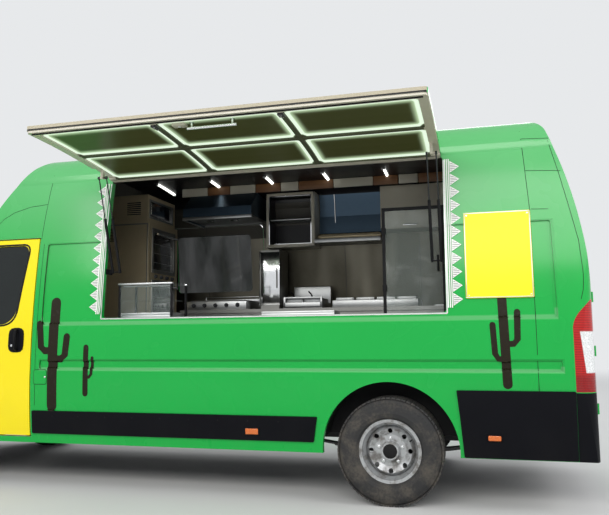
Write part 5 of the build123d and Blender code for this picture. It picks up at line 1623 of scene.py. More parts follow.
def fit_front():
    """Radiator, blank plate, fog lamps, lamp bowls, wipers and washer jets at the nose."""
    core = Form()
    core.slab((0.235, -0.430, 0.715), (0.262, 0.430, 0.985), "casting", 0.004)
    core.slab((0.228, -0.445, 0.700), (0.270, 0.445, 0.718), "black_cladding", 0.004)
    core.slab((0.228, -0.445, 0.982), (0.270, 0.445, 0.998), "black_cladding", 0.004)
    core.piece("radiator", "root")
    fin = Form()
    fin.slab((-0.004, -0.0012, -0.132), (0.003, 0.0012, 0.132), "casting", 0.0)
    row("radiator_fins", fin, 86, (0.233, -0.425, 0.850), (0, 0.010, 0), "root", "cast")
    bumper = on_front("front_bumper")
    plate = Form()
    pad(plate, box_strip(-0.270, 0.270, 0.556, 0.676, 0.010, 9), bumper, "black_cladding", 0.006)
    pad(plate, box_strip(-0.262, 0.262, 0.560, 0.672, 0.010, 9), bumper, "blank_plate", 0.009, inset=0.0015)
    plate.piece("front_blank_plate", "root")
    fog = Form()
    for side in SIDES:
        pad(fog, ring_points(28, (side * 0.700, 0.430), 0.062), bumper, "black_cladding", 0.008)
        pad(fog, ring_points(28, (side * 0.700, 0.430), 0.046), bumper, "lamp_clear", 0.014, dome=0.006)
    fog.piece("fog_lamps", "root")
    lamps = Form()
    for side in SIDES:
        face = on_front("headlamps")
        for y, radius in ((0.640, 0.070), (0.790, 0.050)):
            pad(lamps, ring_points(32, (side * y, 0.852), radius), face, "polished", 0.002, dome=-0.001)
            pad(lamps, ring_points(32, (side * y, 0.852), radius * 0.82), face, "lamp_clear", 0.006, dome=0.006)
        y0, y1 = sorted((side * 0.530, side * 0.880))
        pad(lamps, box_strip(y0, y1, 0.738, 0.756, 0.007, 8), face, "marker_orange", 0.003)
    lamps.piece("headlamp_bowls", "root")
    wipers = Form()
    glass = on_front("windscreen")
    for pivot, tip, out in (((0.560, 1.372), (-0.060, 1.402), 0.016), ((-0.090, 1.372), (-0.700, 1.430), 0.016)):
        start, normal = glass(*pivot)
        points = []
        for n in range(9):
            t = n / 8
            p, m = glass(pivot[0] + (tip[0] - pivot[0]) * t,
                         pivot[1] + (tip[1] - pivot[1]) * t + 0.012 * math.sin(math.pi * t))
            points.append(p + m * (out + 0.006 * math.sin(math.pi * min(1.0, t * 1.3))))
        wipers.tube(points, 0.0065, "black_cladding", 10, flat=0.6)
        wipers.lathe([(0, 0.026), (0.012, 0.024), (0.016, 0.012), (0.017, 0), (0, 0)], start, normal, "black_cladding",
                     20)
        blade = []
        for n in range(13):
            t = 0.22 + 0.86 * n / 12
            y = pivot[0] + (tip[0] - pivot[0]) * t
            z = pivot[1] + (tip[1] - pivot[1]) * t + 0.012 * math.sin(math.pi * min(1.0, t)) + 0.003
            p, m = glass(y, z)
            blade.append(p + m * 0.005)
        wipers.tube(blade, 0.0042, "seal_rubber", 8)
    wipers.piece("wipers", "root")
    jets = Form()
    for side in SIDES:
        point, normal = touch((0.560, side * 0.33, 2.0), (0, 0, -1), "bonnet")
        jets.slab((-0.012, -0.011, -0.001), (0.012, 0.011, 0.007), "black_cladding", 0.003, at=point)
    jets.piece("washer_jets", "bonnet_body")


# Cab
def cushion(name, low, high, crown=0.30, channels=(), lean=0.0, pivot=None):
    """A crowned seat pad with sewn channels across it, leant back about a pivot."""
    form = Form()
    form.pillow(low, high, "seat_cloth", crown, 18)
    low, high = Vector(low), Vector(high)
    for v in form.mesh.verts:
        for place in channels:
            gap = abs(v.co.y - (low.y + (high.y - low.y) * place))
            dip = max(0.0, 1 - gap / 0.022)
            v.co = v.co.lerp((low + high) / 2, 0.07 * dip)
    if lean:
        turn = Matrix.Rotation(lean, 3, "Y")
        for v in form.mesh.verts:
            v.co = pivot + turn @ (v.co - pivot)
    made = form.object(name)
    soften = made.modifiers.new("soften", "SUBSURF")
    soften.levels = soften.render_levels = 1
    return made


def fit_seats():
    names = []
    for tag, y, half in (("driver", -0.480, 0.255), ("bench", 0.430, 0.480)):
        spans = [(y - half, y + half)] if half < 0.3 else [(y - half, y - 0.004), (y + 0.004, y + half)]
        for n, (y0, y1) in enumerate(spans):
            base = cushion(f"seat_{tag}_{n}", (1.350, y0, 0.815), (1.850, y1, 0.965), 0.34, (0.22, 0.78))
            lean = math.radians(14.5)
            pivot = Vector((1.830, (y0 + y1) / 2, 0.900))
            back = cushion(f"seat_back_{tag}_{n}", (1.770, y0 + 0.010, 0.905), (1.885, y1 - 0.010, 1.560), 0.30,
                           (0.22, 0.78), lean=lean, pivot=pivot)
            middle_y = (y0 + y1) / 2
            head = cushion(f"headrest_{tag}_{n}", (1.965, middle_y - 0.118, 1.545), (2.056, middle_y + 0.118, 1.716),
                           0.36)
            names += [base, back, head]
    for made in names:
        settle(made, "root")
    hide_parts("cab_seats")
    frame_parts = Form()
    for y, half in ((-0.480, 0.215), (0.430, 0.440)):
        frame_parts.slab((1.400, y - half, 0.5355), (1.860, y + half, 0.800), "cab_trim", 0.012)
        frame_parts.slab((1.375, y - half - 0.010, 0.780), (1.870, y + half + 0.010, 0.822), "seal_rubber", 0.008)
    for y in (-0.480, 0.190, 0.670):
        for offset in (-0.055, 0.055):
            frame_parts.rod((1.972, y + offset, 1.480), (2.002, y + offset, 1.580), 0.006, "polished", 12)
    frame_parts.tube([(1.610, -0.748, 0.900), (1.720, -0.752, 0.930), (1.820, -0.750, 0.975)], 0.010, "cab_trim", 10)
    frame_parts.piece("seat_frames", "root")
    belts = Form()
    for side in SIDES:
        y = side * 0.860
        belts.prism([(1.968, 1.700), (2.012, 1.700), (2.014, 0.760), (1.966, 0.760)], "Y", y - 0.0012, y + 0.0012,
                    "seal_rubber")
        belts.slab((1.968, y - 0.012, 1.695), (2.014, y + 0.012, 1.745), "cab_trim", 0.005)
        belts.slab((1.960, y - 0.020, 0.700), (2.020, y + 0.020, 0.790), "cab_trim", 0.008)
    belts.piece("seat_belts", "root")


def dash_top(x, y):
    return touch((x, y, 2.0), (0, 0, -1), "dashboard")


def dash_face(y, z):
    return touch((2.3, y, z), (-1, 0, 0), "dashboard")


def fit_cab():
    fit_seats()
    form = Form()
    low, _ = dash_top(1.180, -0.430)
    hood = [(-0.600, 0), (-0.575, 0.055), (-0.500, 0.078), (-0.360, 0.078), (-0.285, 0.055), (-0.260, 0)]
    form.prism([(y, low.z + z - 0.004) for y, z in hood], "X", 1.150, 1.300, "cab_trim", 0.012)
    screen, normal = dash_face(0.020, 1.150)
    lean = Matrix.Rotation(-0.35, 3, "Y")
    form.slab((-0.010, -0.110, -0.065), (0.012, 0.110, 0.065), "cab_trim", 0.006, turn=lean, at=screen)
    form.slab((0.006, -0.098, -0.054), (0.0145, 0.098, 0.054), "oven_glass", 0.002, turn=lean, at=screen)
    for y in (-0.800, -0.170, 0.230, 0.800):
        point, normal = dash_face(y, 1.130)
        form.lathe([(0, 0.004), (0.030, 0.004), (0.034, 0.010), (0.041, 0.009), (0.043, -0.002), (0, -0.002)], point,
                   normal, "cab_trim", 28)
        for n in range(-2, 3):
            form.slab(point + normal * 0.006 + Vector((-0.002, -0.028, n * 0.011 - 0.0015)),
                      point + normal * 0.006 + Vector((0.002, 0.028, n * 0.011 + 0.0015)), "cab_trim", 0.001)
    for n in range(5):
        point, normal = dash_face(-0.040 + n * 0.030, 1.060)
        form.slab((-0.002, -0.011, -0.008), (0.005, 0.011, 0.008), "seal_rubber", 0.002, at=point)
    point, _ = dash_face(0.0, 0.960)
    form.slab((-0.010, -0.120, -0.090), (0.085, 0.120, 0.040), "cab_trim", 0.018, at=point)
    form.tube([point + Vector((0.045, 0, 0.035)), point + Vector((0.065, 0, 0.090)), point + Vector((0.080, 0, 0.125))],
              0.008, "polished", 12)
    knob = point + Vector((0.081, 0, 0.128))
    form.lathe([(0, -0.014), (0.017, -0.012), (0.023, 0.006), (0.024, 0.026), (0.018, 0.040), (0, 0.044)], knob,
               (0.2, 0, 1), "seal_rubber", 24)
    form.piece("dash_fittings", "root")
    pedals = Form()
    for n, (y, width) in enumerate(((-0.560, 0.060), (-0.450, 0.070), (-0.340, 0.045))):
        pedals.tube([(1.120, y, 0.900), (1.150, y, 0.780), (1.175, y, 0.700)], 0.007, "rough_steel", 10)
        pedals.slab((1.168, y - width / 2, 0.650), (1.182, y + width / 2, 0.712), "seal_rubber", 0.005,
                    turn=Matrix.Rotation(0.5, 3, "Y"))
    pedals.piece("pedals", "root")
    for side, name in ((-1, "left"), (1, "right")):
        card = Form()
        wall = lambda x, z: touch((x, 0.0, z), (0, side, 0), f"cab_door_{name}")
        flat = lambda x, z: (wall(x, z)[0], Vector((0, -side, 0)))
        pad(card, box_strip(1.480, 1.940, 0.600, 0.780, 0.050, 8), flat, "cab_trim", 0.012)
        pad(card, box_strip(1.300, 1.900, 0.900, 1.130, 0.040, 8), flat, "seat_cloth", 0.010, dome=0.003)
        a, _ = flat(1.450, 1.020)
        b, _ = flat(1.760, 1.020)
        inward = Vector((0, -side, 0))
        card.tube([a + inward * 0.008, a + inward * 0.050 + Vector((0.02, 0, 0)),
                   b + inward * 0.050 - Vector((0.02, 0, 0)), b + inward * 0.008], 0.014, "cab_trim", 14)
        card.piece(f"door_card_{name}", f"door_{name}")
    visors = Form()
    for side in SIDES:
        y0, y1 = sorted((side * 0.160, side * 0.620))
        glass, _ = touch((1.600, (y0 + y1) / 2, 1.90), (-1, 0, 0), "windscreen", "cab_shell")
        visors.slab((glass.x + 0.075, y0, 1.905), (glass.x + 0.215, y1, 1.925), "pale_trim", 0.009,
                    turn=Matrix.Rotation(0.18, 3, "Y"))
    mirror, _ = touch((1.600, 0.0, 1.86), (-1, 0, 0), "windscreen", "cab_shell")
    visors.slab((0.060, -0.115, -0.030), (0.085, 0.115, 0.032), "cab_trim", 0.010, at=mirror)
    visors.slab((0.083, -0.106, -0.024), (0.0865, 0.106, 0.026), "mirror_glass", 0.001, at=mirror)
    visors.tube([mirror + Vector((0.004, 0, 0.004)), mirror + Vector((0.040, 0, 0.010)),
                 mirror + Vector((0.070, 0, 0.0))], 0.007, "cab_trim", 10)
    visors.piece("visors_and_mirror", "root")


# Kitchen
COUNTER_TOP = 1.430
SILL = 1.3285


def frame_box(form, low, high, width, depth, name, axis="Y", bevel=0.003):
    """Four bars round a rectangle: low and high are its corners, depth its thickness along the axis."""
    (a0, b0), (a1, b1) = (tuple(c for c, letter in zip(corner, "XYZ") if letter != axis) for corner in (low, high))
    near = low["XYZ".index(axis)]
    for (a, b), (c, d) in (((a0, b0), (a0 + width, b1)), ((a1 - width, b0), (a1, b1)),
                           ((a0 + width, b0), (a1 - width, b0 + width)), ((a0 + width, b1 - width), (a1 - width, b1))):
        form.slab(laid(axis, a, b, near), laid(axis, c, d, near + depth), name, bevel)


def frame_tub(form, low, high, z0, z1, rim=0.012):
    """The raised rim of a pan or basin."""
    frame_box(form, (*low, z0), (*high, z1), rim, z1 - z0, "steel_sheet", "Z")


def knob_form(radius, facing):
    form = Form()
    form.lathe([(0, 0.022), (radius * 0.72, 0.022), (radius * 0.82, 0.018), (radius * 0.86, 0.006), (radius, 0.004),
                (radius, 0.0), (0, 0.0)], (0, 0, 0), facing, "cab_trim", 20)
    return form


def slot_form(half, height):
    slot = Form()
    slot.slab((-half, -0.0012, -height), (half, 0.0012, height), "seal_rubber", 0.001)
    return slot


def door_form(half_height, handle_z, panel, bar, post):
    """A cupboard door with a bar handle on two posts; panel, bar and post are each a pair of y values."""
    door = Form()
    for x0, x1, z0, z1, (y0, y1), bevel in (
            (-0.242, 0.242, -half_height, half_height, panel, 0.003),
                                            (-0.110, 0.110, handle_z, handle_z + 0.016, bar, 0.003),
            (-0.110, -0.098, handle_z, handle_z + 0.016, post, 0.002),
                                            (0.098, 0.110, handle_z, handle_z + 0.016, post, 0.002)):
        door.slab((x0, y0, z0), (x1, y1, z1), "steel_upright", bevel)
    return door


def fit_ovens():
    form = Form()
    for z0, z1 in ((0.700, 1.180), (1.240, 1.700), (1.760, 2.180)):
        form.slab((2.7085, -0.196, z0 + 0.004), (2.7135, 0.276, z1 - 0.004), "oven_glass", 0.001)
        frame_box(form, (2.7090, -0.199, z0 + 0.002), (2.7300, 0.279, z1 - 0.002), 0.034, 0.016, "steel_upright", "X",
                  0.003)
        bar_z = z1 - 0.060
        for y in (-0.130, 0.210):
            form.rod((2.722, y, bar_z), (2.762, y, bar_z), 0.006, "polished", 12)
        form.rod((2.762, -0.165, bar_z), (2.762, 0.245, bar_z), 0.0095, "polished", 16)
        for rack in range(3):
            z = z0 + 0.10 + rack * (z1 - z0 - 0.16) / 3
            form.slab((2.7136, -0.150, z), (2.7146, 0.230, z + 0.003), "steel_sheet", 0.0)
    form.slab((2.6885, -0.216, 2.270), (2.6935, 0.266, 2.440), "oven_glass", 0.001)
    frame_box(form, (2.6890, -0.219, 2.266), (2.7100, 0.269, 2.444), 0.018, 0.014, "steel_upright", "X", 0.002)
    form.rod((2.712, -0.205, 2.300), (2.712, -0.205, 2.410), 0.006, "polished", 12)
    form.piece("oven_doors", "root")
    for name, z in (("low", 1.210), ("high", 1.730)):
        row(f"oven_knobs_{name}", knob_form(0.019, (1, 0, 0)), 4, (2.720, -0.130, z), (0, 0.113, 0), "root", "trim")
    row("oven_louvres", slot_form(0.055, 0.0035), 9, (2.310, -0.2508, 2.060), (0, 0, 0.014), "root", "black_plastic")
    row("oven_box_louvres", slot_form(0.070, 0.0045), 7, (2.560, -0.2508, 2.300), (0, 0, 0.018), "root",
        "black_plastic")
    panel = Form()
    for z0, z1 in ((0.560, 1.215), (1.235, 2.215)):
        frame_box(panel, (2.215, -0.2525, z0), (2.705, -0.2475, z1), 0.012, 0.004, "steel_upright", bevel=0.001)
    panel.piece("oven_side_panels", "root")


def fit_range():
    """Griddle, fryer, warming pans, sink and doors of the counter at the far side, and the hot cabinet's door."""
    top = COUNTER_TOP
    form = Form()
    form.slab((2.800, 0.385, top), (3.430, 0.860, top + 0.085), "steel_sheet", 0.006)
    form.slab((2.825, 0.425, top + 0.083), (3.405, 0.840, top + 0.095), "casting", 0.003)
    frame_box(form, (2.812, 0.835, top + 0.080), (3.418, 0.850, top + 0.150), 0.010, 0.008, "steel_sheet", "Y", 0.002)
    form.slab((2.812, 0.842, top + 0.080), (3.418, 0.852, top + 0.125), "steel_sheet", 0.003)
    form.piece("griddle", "root")
    row("griddle_knobs", knob_form(0.021, (0, -1, 0)), 5, (2.880, 0.385, top + 0.045), (0.115, 0, 0), "root", "trim")
    fryer = Form()
    x0, x1 = 3.800, 4.180
    frame_box(fryer, (x0, 0.400, top), (x1, 0.850, top + 0.110), 0.020, 0.020, "steel_sheet", "Y")
    fryer.slab((x0, 0.400, top), (x1, 0.850, top + 0.060), "steel_sheet", 0.006)
    for a in (x0 + 0.020, (x0 + x1) / 2 + 0.006):
        b = a + (x1 - x0) / 2 - 0.026
        frame_tub(fryer, (a, 0.440), (b, 0.760), top + 0.058, top + 0.100)
        fryer.tube([((a + b) / 2, 0.440, top + 0.100), ((a + b) / 2, 0.400, top + 0.130),
                    ((a + b) / 2, 0.300, top + 0.150)], 0.007, "seal_rubber", 10)
    fryer.slab((x0, 0.780, top + 0.050), (x1, 0.850, top + 0.230), "steel_sheet", 0.008)
    fryer.piece("fryer", "root")
    pans = Form()
    pans.slab((4.280, 0.395, top), (5.080, 0.760, top + 0.070), "steel_sheet", 0.005)
    pans.piece("warming_well", "root")
    tub = Form()
    frame_tub(tub, (-0.085, -0.130), (0.085, 0.130), 0.0, 0.022)
    tub.slab((-0.080, -0.125, 0.018), (0.080, 0.125, 0.026), "steel_sheet", 0.003)
    tub.rod((0, -0.02, 0.026), (0, 0.02, 0.026), 0.006, "steel_sheet", 10)
    row("warming_pans", tub, 4, (4.390, 0.578, top + 0.070), (0.193, 0, 0), "root", "steel")
    sink = Form()
    frame_tub(sink, (5.220, 0.420), (5.620, 0.780), top + 0.0005, top + 0.012)
    sink.slab((5.240, 0.440, top + 0.0005), (5.600, 0.760, top + 0.004), "dark_steel", 0.001)
    sink.tube([(5.420, 0.820, top), (5.420, 0.820, top + 0.210), (5.420, 0.790, top + 0.250),
               (5.420, 0.740, top + 0.262), (5.420, 0.690, top + 0.250), (5.420, 0.675, top + 0.215)], 0.011,
              "polished", 16)
    sink.lathe([(0, 0), (0.026, 0), (0.026, 0.006), (0.018, 0.022), (0, 0.024)], (5.420, 0.820, top), (0, 0, 1),
               "polished", 24)
    sink.tube([(5.420, 0.820, top + 0.080), (5.455, 0.815, top + 0.090), (5.490, 0.810, top + 0.105)], 0.005,
              "polished", 10)
    sink.piece("sink_and_tap", "root")
    door = door_form(0.330, 0.272, (-0.006, 0.002), (-0.030, -0.022), (-0.024, -0.004))
    row("range_doors", door, 6, (3.020, 0.369, 1.000), (0.510, 0, 0), "root", "steel")
    inner = door_form(0.260, 0.200, (-0.002, 0.006), (0.022, 0.030), (0.004, 0.024))
    row("counter_doors", inner, 6, (2.850, -0.5795, 0.965), (0.510, 0, 0), "root", "steel")
    urn = Form()
    urn.slab((3.5035, 0.5525, 1.470), (3.7165, 0.5605, 2.000), "polished", 0.004)
    urn.slab((3.5120, 0.5450, 1.480), (3.5220, 0.5540, 1.990), "steel_upright", 0.003)
    urn.rod((3.690, 0.5450, 1.640), (3.690, 0.5450, 1.840), 0.007, "steel_upright", 12)
    for z in (1.650, 1.830):
        urn.rod((3.690, 0.5450, z), (3.690, 0.5560, z), 0.005, "steel_upright", 10)
    urn.piece("hot_cabinet_door", "root")


def fit_hood_and_walls():
    baffle = Form()
    baffle.prism([(-0.012, 0.0), (0.012, 0.0), (0.004, 0.016), (-0.004, 0.016)], "Y", -0.235, 0.235, "steel_sheet", 0.0)
    row("hood_baffles", baffle, 26, (2.820, 0.600, 2.338), (0.026, 0, 0), "root", "steel")
    hood = Form()
    hood.slab((2.778, 0.324, 2.322), (3.502, 0.336, 2.352), "steel_sheet")
    for x in (2.776, 3.494):
        hood.slab((x, 0.326, 2.320), (x + 0.010, 0.850, 2.350), "steel_sheet")
    for x in (3.010, 3.270):
        hood.slab((x - 0.040, 0.470, 2.3195), (x + 0.040, 0.500, 2.334), "oven_glass", 0.004)
    hood.piece("hood_edges", "root")
    units = Form()
    frame_box(units, (3.566, 0.611, 2.056), (4.054, 0.630, 2.594), 0.030, 0.012, "cream_enamel", "Y", 0.004)
    frame_box(units, (3.588, 0.6085, 2.078), (4.032, 0.620, 2.572), 0.010, 0.005, "polished", "Y", 0.001)
    units.slab((3.592, 0.640, 2.325), (4.028, 0.830, 2.337), "steel_sheet", 0.002)
    units.slab((4.066, 0.690, 2.115), (4.716, 0.836, 2.176), "warm_steel", 0.024)
    units.slab((4.064, 0.592, 2.076), (4.718, 0.606, 2.116), "steel_sheet", 0.004)
    def wall_y(z):
        return touch((4.4, 0.0, z), (0, 1, 0), "side_right", "roof", "wall_units")[0].y
    heights = (2.180, 2.400, 2.500, 2.592)
    sheet = [(wall_y(z) - 0.005, z) for z in heights] + [(wall_y(z) - 0.001, z) for z in reversed(heights)]
    units.prism(sheet, "X", 4.070, 4.714, "dark_steel")
    # A polished rod put down the blue sheet as a painted reflection highlight.
    units.tube([Vector((4.225, wall_y(z) - 0.012, z)) for z in heights], 0.0050, "polished", 10)
    for a, b in ((4.730, 5.282), (5.290, 5.842)):
        units.slab((a, 0.590, 2.188), (b, 0.601, 2.592), "cream_enamel", 0.004)
        units.slab(((a + b) / 2 - 0.07, 0.566, 2.205), ((a + b) / 2 + 0.07, 0.574, 2.217), "polished", 0.003)
        for x in ((a + b) / 2 - 0.065, (a + b) / 2 + 0.065):
            units.rod((x, 0.570, 2.211), (x, 0.592, 2.211), 0.004, "polished", 10)
    units.piece("wall_unit_fronts", "root")
    boards = Form()
    spans = ((2.670, 2.955, "cream_enamel"), (2.955, 3.199, "oak_board"), (3.199, 3.473, "cream_enamel"),
             (3.473, 3.737, "oak_board"), (3.737, 3.921, "cream_enamel"), (3.921, 4.276, "oak_board"),
             (4.276, 4.665, "cream_enamel"), (4.665, 4.909, "oak_board"), (4.909, 5.095, "cream_enamel"),
             (5.095, 5.800, "oak_board"))
    for a, b, name in spans:
        y = min(touch((x, 0.0, z), (0, 1, 0), "side_right", "roof")[0].y for x in (a, b) for z in (2.605, 2.690))
        boards.slab((a + 0.003, y - 0.026, 2.604), (b - 0.003, y - 0.002, 2.690), name, 0.004)
    boards.piece("upper_wall_boards", "root")
    lamps = Form()
    for x in (2.510, 3.080, 3.652, 4.224, 4.802):
        for y in (0.283, 0.690):
            end, _ = touch((x + 0.030, y, INSIDE_Z), (0, 0, 1), "roof", "side_right", "rear_frame")
            lamps.slab((x - 0.018, y - 0.006, end.z - 0.020), (x + 0.018, y + 0.012, end.z - 0.001), "steel_sheet",
                       0.004)
        for reach in (-0.0105, 0.0105):
            run = [touch((x + reach, 0.300 + 0.054 * n, INSIDE_Z), (0, 0, 1), "ceiling_lamps")[0] for n in range(8)]
            lamps.tube(run, 0.0038, "seal_rubber", 8)
    lamps.piece("lamp_ends", "root")


def fit_case():
    """Tray, glass shelf, corner caps and rail of the display case, the tall pane's hinges, and counter trays."""
    form = Form()
    form.slab((2.800, -0.862, SILL - 0.004), (3.240, -0.610, 1.352), "steel_sheet", 0.004)
    frame_tub(form, (2.800, -0.862), (3.240, -0.610), 1.350, 1.372, 0.008)
    form.slab((2.802, -0.860, 1.468), (3.238, -0.640, 1.473), "clear_glass", 0.001)
    for x in (2.790, 3.250):
        for y in (-0.868, -0.600):
            form.slab((x - 0.011, y - 0.011, 1.598), (x + 0.011, y + 0.011, 1.612), "polished", 0.003)
    form.slab((2.782, -0.886, 1.5965), (3.258, -0.878, 1.6115), "steel_sheet", 0.002)
    form.rod((2.810, -0.845, 1.588), (3.230, -0.845, 1.588), 0.006, "steel_sheet", 12)
    form.piece("case_fittings", "root")
    pane = Form()
    for z in (1.500, 1.930):
        pane.slab((4.926, -0.782, z), (4.958, -0.748, z + 0.050), "seal_rubber", 0.004)
    pane.rod((5.340, -0.778, 1.640), (5.340, -0.778, 1.760), 0.008, "seal_rubber", 14)
    pane.piece("pane_hinges", "root")
    till = Form()
    till.slab((3.420, -0.780, SILL), (3.900, -0.600, 1.345), "cab_trim", 0.005)
    till.slab((3.980, -0.800, SILL), (4.560, -0.590, 1.350), "steel_sheet", 0.005)
    frame_tub(till, (3.980, -0.800), (4.560, -0.590), 1.348, 1.366, 0.010)
    till.piece("counter_trays", "root")


def fit_kitchen():
    fit_ovens()
    fit_range()
    fit_hood_and_walls()
    fit_case()


# Underbody
def fit_underbody():
    """Rear dampers, floor ribs and a strapped fuel tank under the truck."""
    form = Form()
    for side in SIDES:
        y = side * 0.600
        form.rod((5.080, y, 0.300), (5.330, y * 0.98, 0.455), 0.024, "seal_rubber", 18)
        form.rod((5.300, y * 0.982, 0.438), (5.380, y * 0.975, 0.488), 0.012, "polished", 14)
    form.piece("rear_dampers", "root")
    rib = Form()
    rib.slab((-0.010, -0.380, -0.010), (0.010, 0.380, 0.006), "rough_steel", 0.004)
    row("floor_ribs", rib, 12, (1.500, 0.0, 0.492), (0.250, 0, 0), "root", "steel")
    tank = Form()
    tank.slab((2.350, -0.460, 0.345), (3.250, -0.190, 0.495), "seal_rubber", 0.040)
    for x in (2.560, 3.040):
        frame_box(tank, (x, -0.466, 0.338), (x + 0.04, -0.184, 0.499), 0.006, 0.036, "rough_steel", "X", 0.002)
    tank.piece("fuel_tank", "root")


# Stage
BACKDROP = (0.80, 0.815, 0.83, 1.0)


def soft_lamp(name, place, target, size, power, colour=(1.0, 1.0, 1.0)):
    light = bpy.data.lights.new(name, "AREA")
    light.shape = "RECTANGLE"
    light.size, light.size_y = size
    light.energy = power
    light.color = colour
    made = placed(name, light)
    made.location = van(*place)
    made.rotation_euler = (van(*target) - made.location).to_track_quat("-Z", "Y").to_euler()


def floor_finish():
    """The pale floor, which melts into the background far from the truck."""
    material = finish("pale_floor")
    tree = material.node_tree
    place = tree.nodes.new("ShaderNodeTexCoord")
    length = tree.nodes.new("ShaderNodeVectorMath")
    length.operation = "LENGTH"
    fade = tree.nodes.new("ShaderNodeMapRange")
    fade.interpolation_type = "SMOOTHSTEP"
    fade.inputs["From Min"].default_value = 7.0
    fade.inputs["From Max"].default_value = 19.0
    glow = tree.nodes.new("ShaderNodeEmission")
    glow.inputs["Color"].default_value = BACKDROP
    blend = tree.nodes.new("ShaderNodeMixShader")
    wire(tree, (place, "Object", length, 0), (length, "Value", fade, "Value"), (fade, "Result", blend, 0),
         (tree.nodes["Principled BSDF"], 0, blend, 1), (glow, 0, blend, 2),
         (blend, 0, tree.nodes["Material Output"], "Surface"))
    return material


def lay_floor():
    mesh = bmesh.new()
    bmesh.ops.create_grid(mesh, x_segments=24, y_segments=24, size=60.0)
    data = bpy.data.meshes.new("floor")
    mesh.to_mesh(data)
    mesh.free()
    data.materials.append(floor_finish())
    placed("floor", data)


def light_world():
    """An even sky: moderate on the truck, and pale where the camera, gloss or glass sees it."""
    world = bpy.data.worlds.new("sky")
    bpy.context.scene.world = world
    world.use_nodes = True
    tree = world.node_tree
    tree.nodes.clear()
    rays, seen, through, lit, shown, blend, output = (tree.nodes.new("ShaderNode" + kind) for kind in (
        "LightPath", "Math", "Math", "Background", "Background", "MixShader", "OutputWorld"))
    seen.operation = through.operation = "MAXIMUM"
    seen.use_clamp = True
    lit.inputs["Color"].default_value = (0.93, 0.96, 1.0, 1.0)
    lit.inputs["Strength"].default_value = 0.50
    shown.inputs["Color"].default_value = BACKDROP
    shown.inputs["Strength"].default_value = 1.0
    wire(tree, (rays, "Is Camera Ray", seen, 0), (rays, "Is Transmission Ray", seen, 1), (seen, 0, through, 0),
         (rays, "Is Glossy Ray", through, 1), (through, 0, blend, 0), (lit, 0, blend, 1), (shown, 0, blend, 2),
         (blend, 0, output, "Surface"))


PHOTO_WIDTH = 609
FOCAL_PIXELS = 675.48
SENSOR_WIDTH = 36.0
CAMERA_PLACE = (2.47251, -5.42040, 1.19816)
CAMERA_TURNS = (14.838, 6.367, -0.554)  # yaw, pitch and roll in degrees


def place_camera():
    """The photograph's view: from the rear quarter on the serving side, a little below the waist line."""
    yaw, pitch, roll = (math.radians(turn) for turn in CAMERA_TURNS)
    forward = Vector((-math.sin(yaw) * math.cos(pitch), math.cos(yaw) * math.cos(pitch), math.sin(pitch)))
    right = Vector((math.cos(yaw), math.sin(yaw), 0.0))
    up = right.cross(forward)
    across = right * math.cos(roll) + up * math.sin(roll)
    above = up * math.cos(roll) - right * math.sin(roll)
    data = bpy.data.cameras.new("photo_view")
    data.sensor_width = SENSOR_WIDTH
    data.lens = FOCAL_PIXELS / PHOTO_WIDTH * SENSOR_WIDTH
    data.clip_start = 0.02
    made = placed("photo_view", data)
    made.matrix_world = Matrix((
        (across.x, above.x, -forward.x, CAMERA_PLACE[0]),
        (across.y, above.y, -forward.y, CAMERA_PLACE[1]),
        (across.z, above.z, -forward.z, CAMERA_PLACE[2]),
        (0.0, 0.0, 0.0, 1.0),
    ))
    bpy.context.scene.camera = made


def set_up_stage():
    bpy.context.scene.view_settings.view_transform = "Standard"
    lay_floor()
    light_world()
    soft_lamp("key", (3.4, -10.5, 6.3), (3.9, -1.0, 1.8), (15.0, 3.6), 960, (1.0, 0.985, 0.96))
    soft_lamp("rear_fill", (12.0, -2.5, 5.0), (6.0, 0.0, 1.2), (5.0, 5.0), 260)
    soft_lamp("nose_fill", (-6.5, -2.0, 5.0), (1.0, 0.0, 1.0), (8.0, 6.0), 270)
    soft_lamp("far_side", (3.2, 9.0, 7.0), (3.2, 1.0, 1.2), (8.0, 5.0), 420)
    place_camera()


# Operators
class TRUCK_OT_shell(bpy.types.Operator):
    """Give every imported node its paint, lining, glass, rubber or metal"""
    bl_idname = "food_truck.shell"
    bl_label = "Shell finishes"

    def execute(self, context):
        finish_shell()
        return {"FINISHED"}


class TRUCK_OT_livery(bpy.types.Operator):
    """Lay the triangle borders, upright stripes and cactus shapes on the serving side"""
    bl_idname = "food_truck.livery"
    bl_label = "Livery"

    def execute(self, context):
        lay_livery()
        return {"FINISHED"}


class TRUCK_OT_joints(bpy.types.Operator):
    """Draw the joint lines between the body's pressings"""
    bl_idname = "food_truck.joint_lines"
    bl_label = "Joint lines"

    def execute(self, context):
        draw_seams()
        return {"FINISHED"}


class TRUCK_OT_opening(bpy.types.Operator):
    """Edge the serving opening with bright trim and a steel sill"""
    bl_idname = "food_truck.opening"
    bl_label = "Opening trim"

    def execute(self, context):
        trim_opening()
        return {"FINISHED"}


class TRUCK_OT_hatch(bpy.types.Operator):
    """Paint a glow on the hatch's panels and fit its bar handle, lock, catches and screws"""
    bl_idname = "food_truck.hatch"
    bl_label = "Hatch"

    def execute(self, context):
        fit_hatch()
        return {"FINISHED"}


class TRUCK_OT_wheels(bpy.types.Operator):
    """Build treaded tyres, wheel bolts, caps, valves and brake discs"""
    bl_idname = "food_truck.wheels"
    bl_label = "Wheels"

    def execute(self, context):
        roll_wheels()
        return {"FINISHED"}


class TRUCK_OT_doors(bpy.types.Operator):
    """Fit the cab doors' handles, locks and window seals and the mirrors' glasses"""
    bl_idname = "food_truck.doors"
    bl_label = "Cab doors"

    def execute(self, context):
        fit_doors()
        return {"FINISHED"}


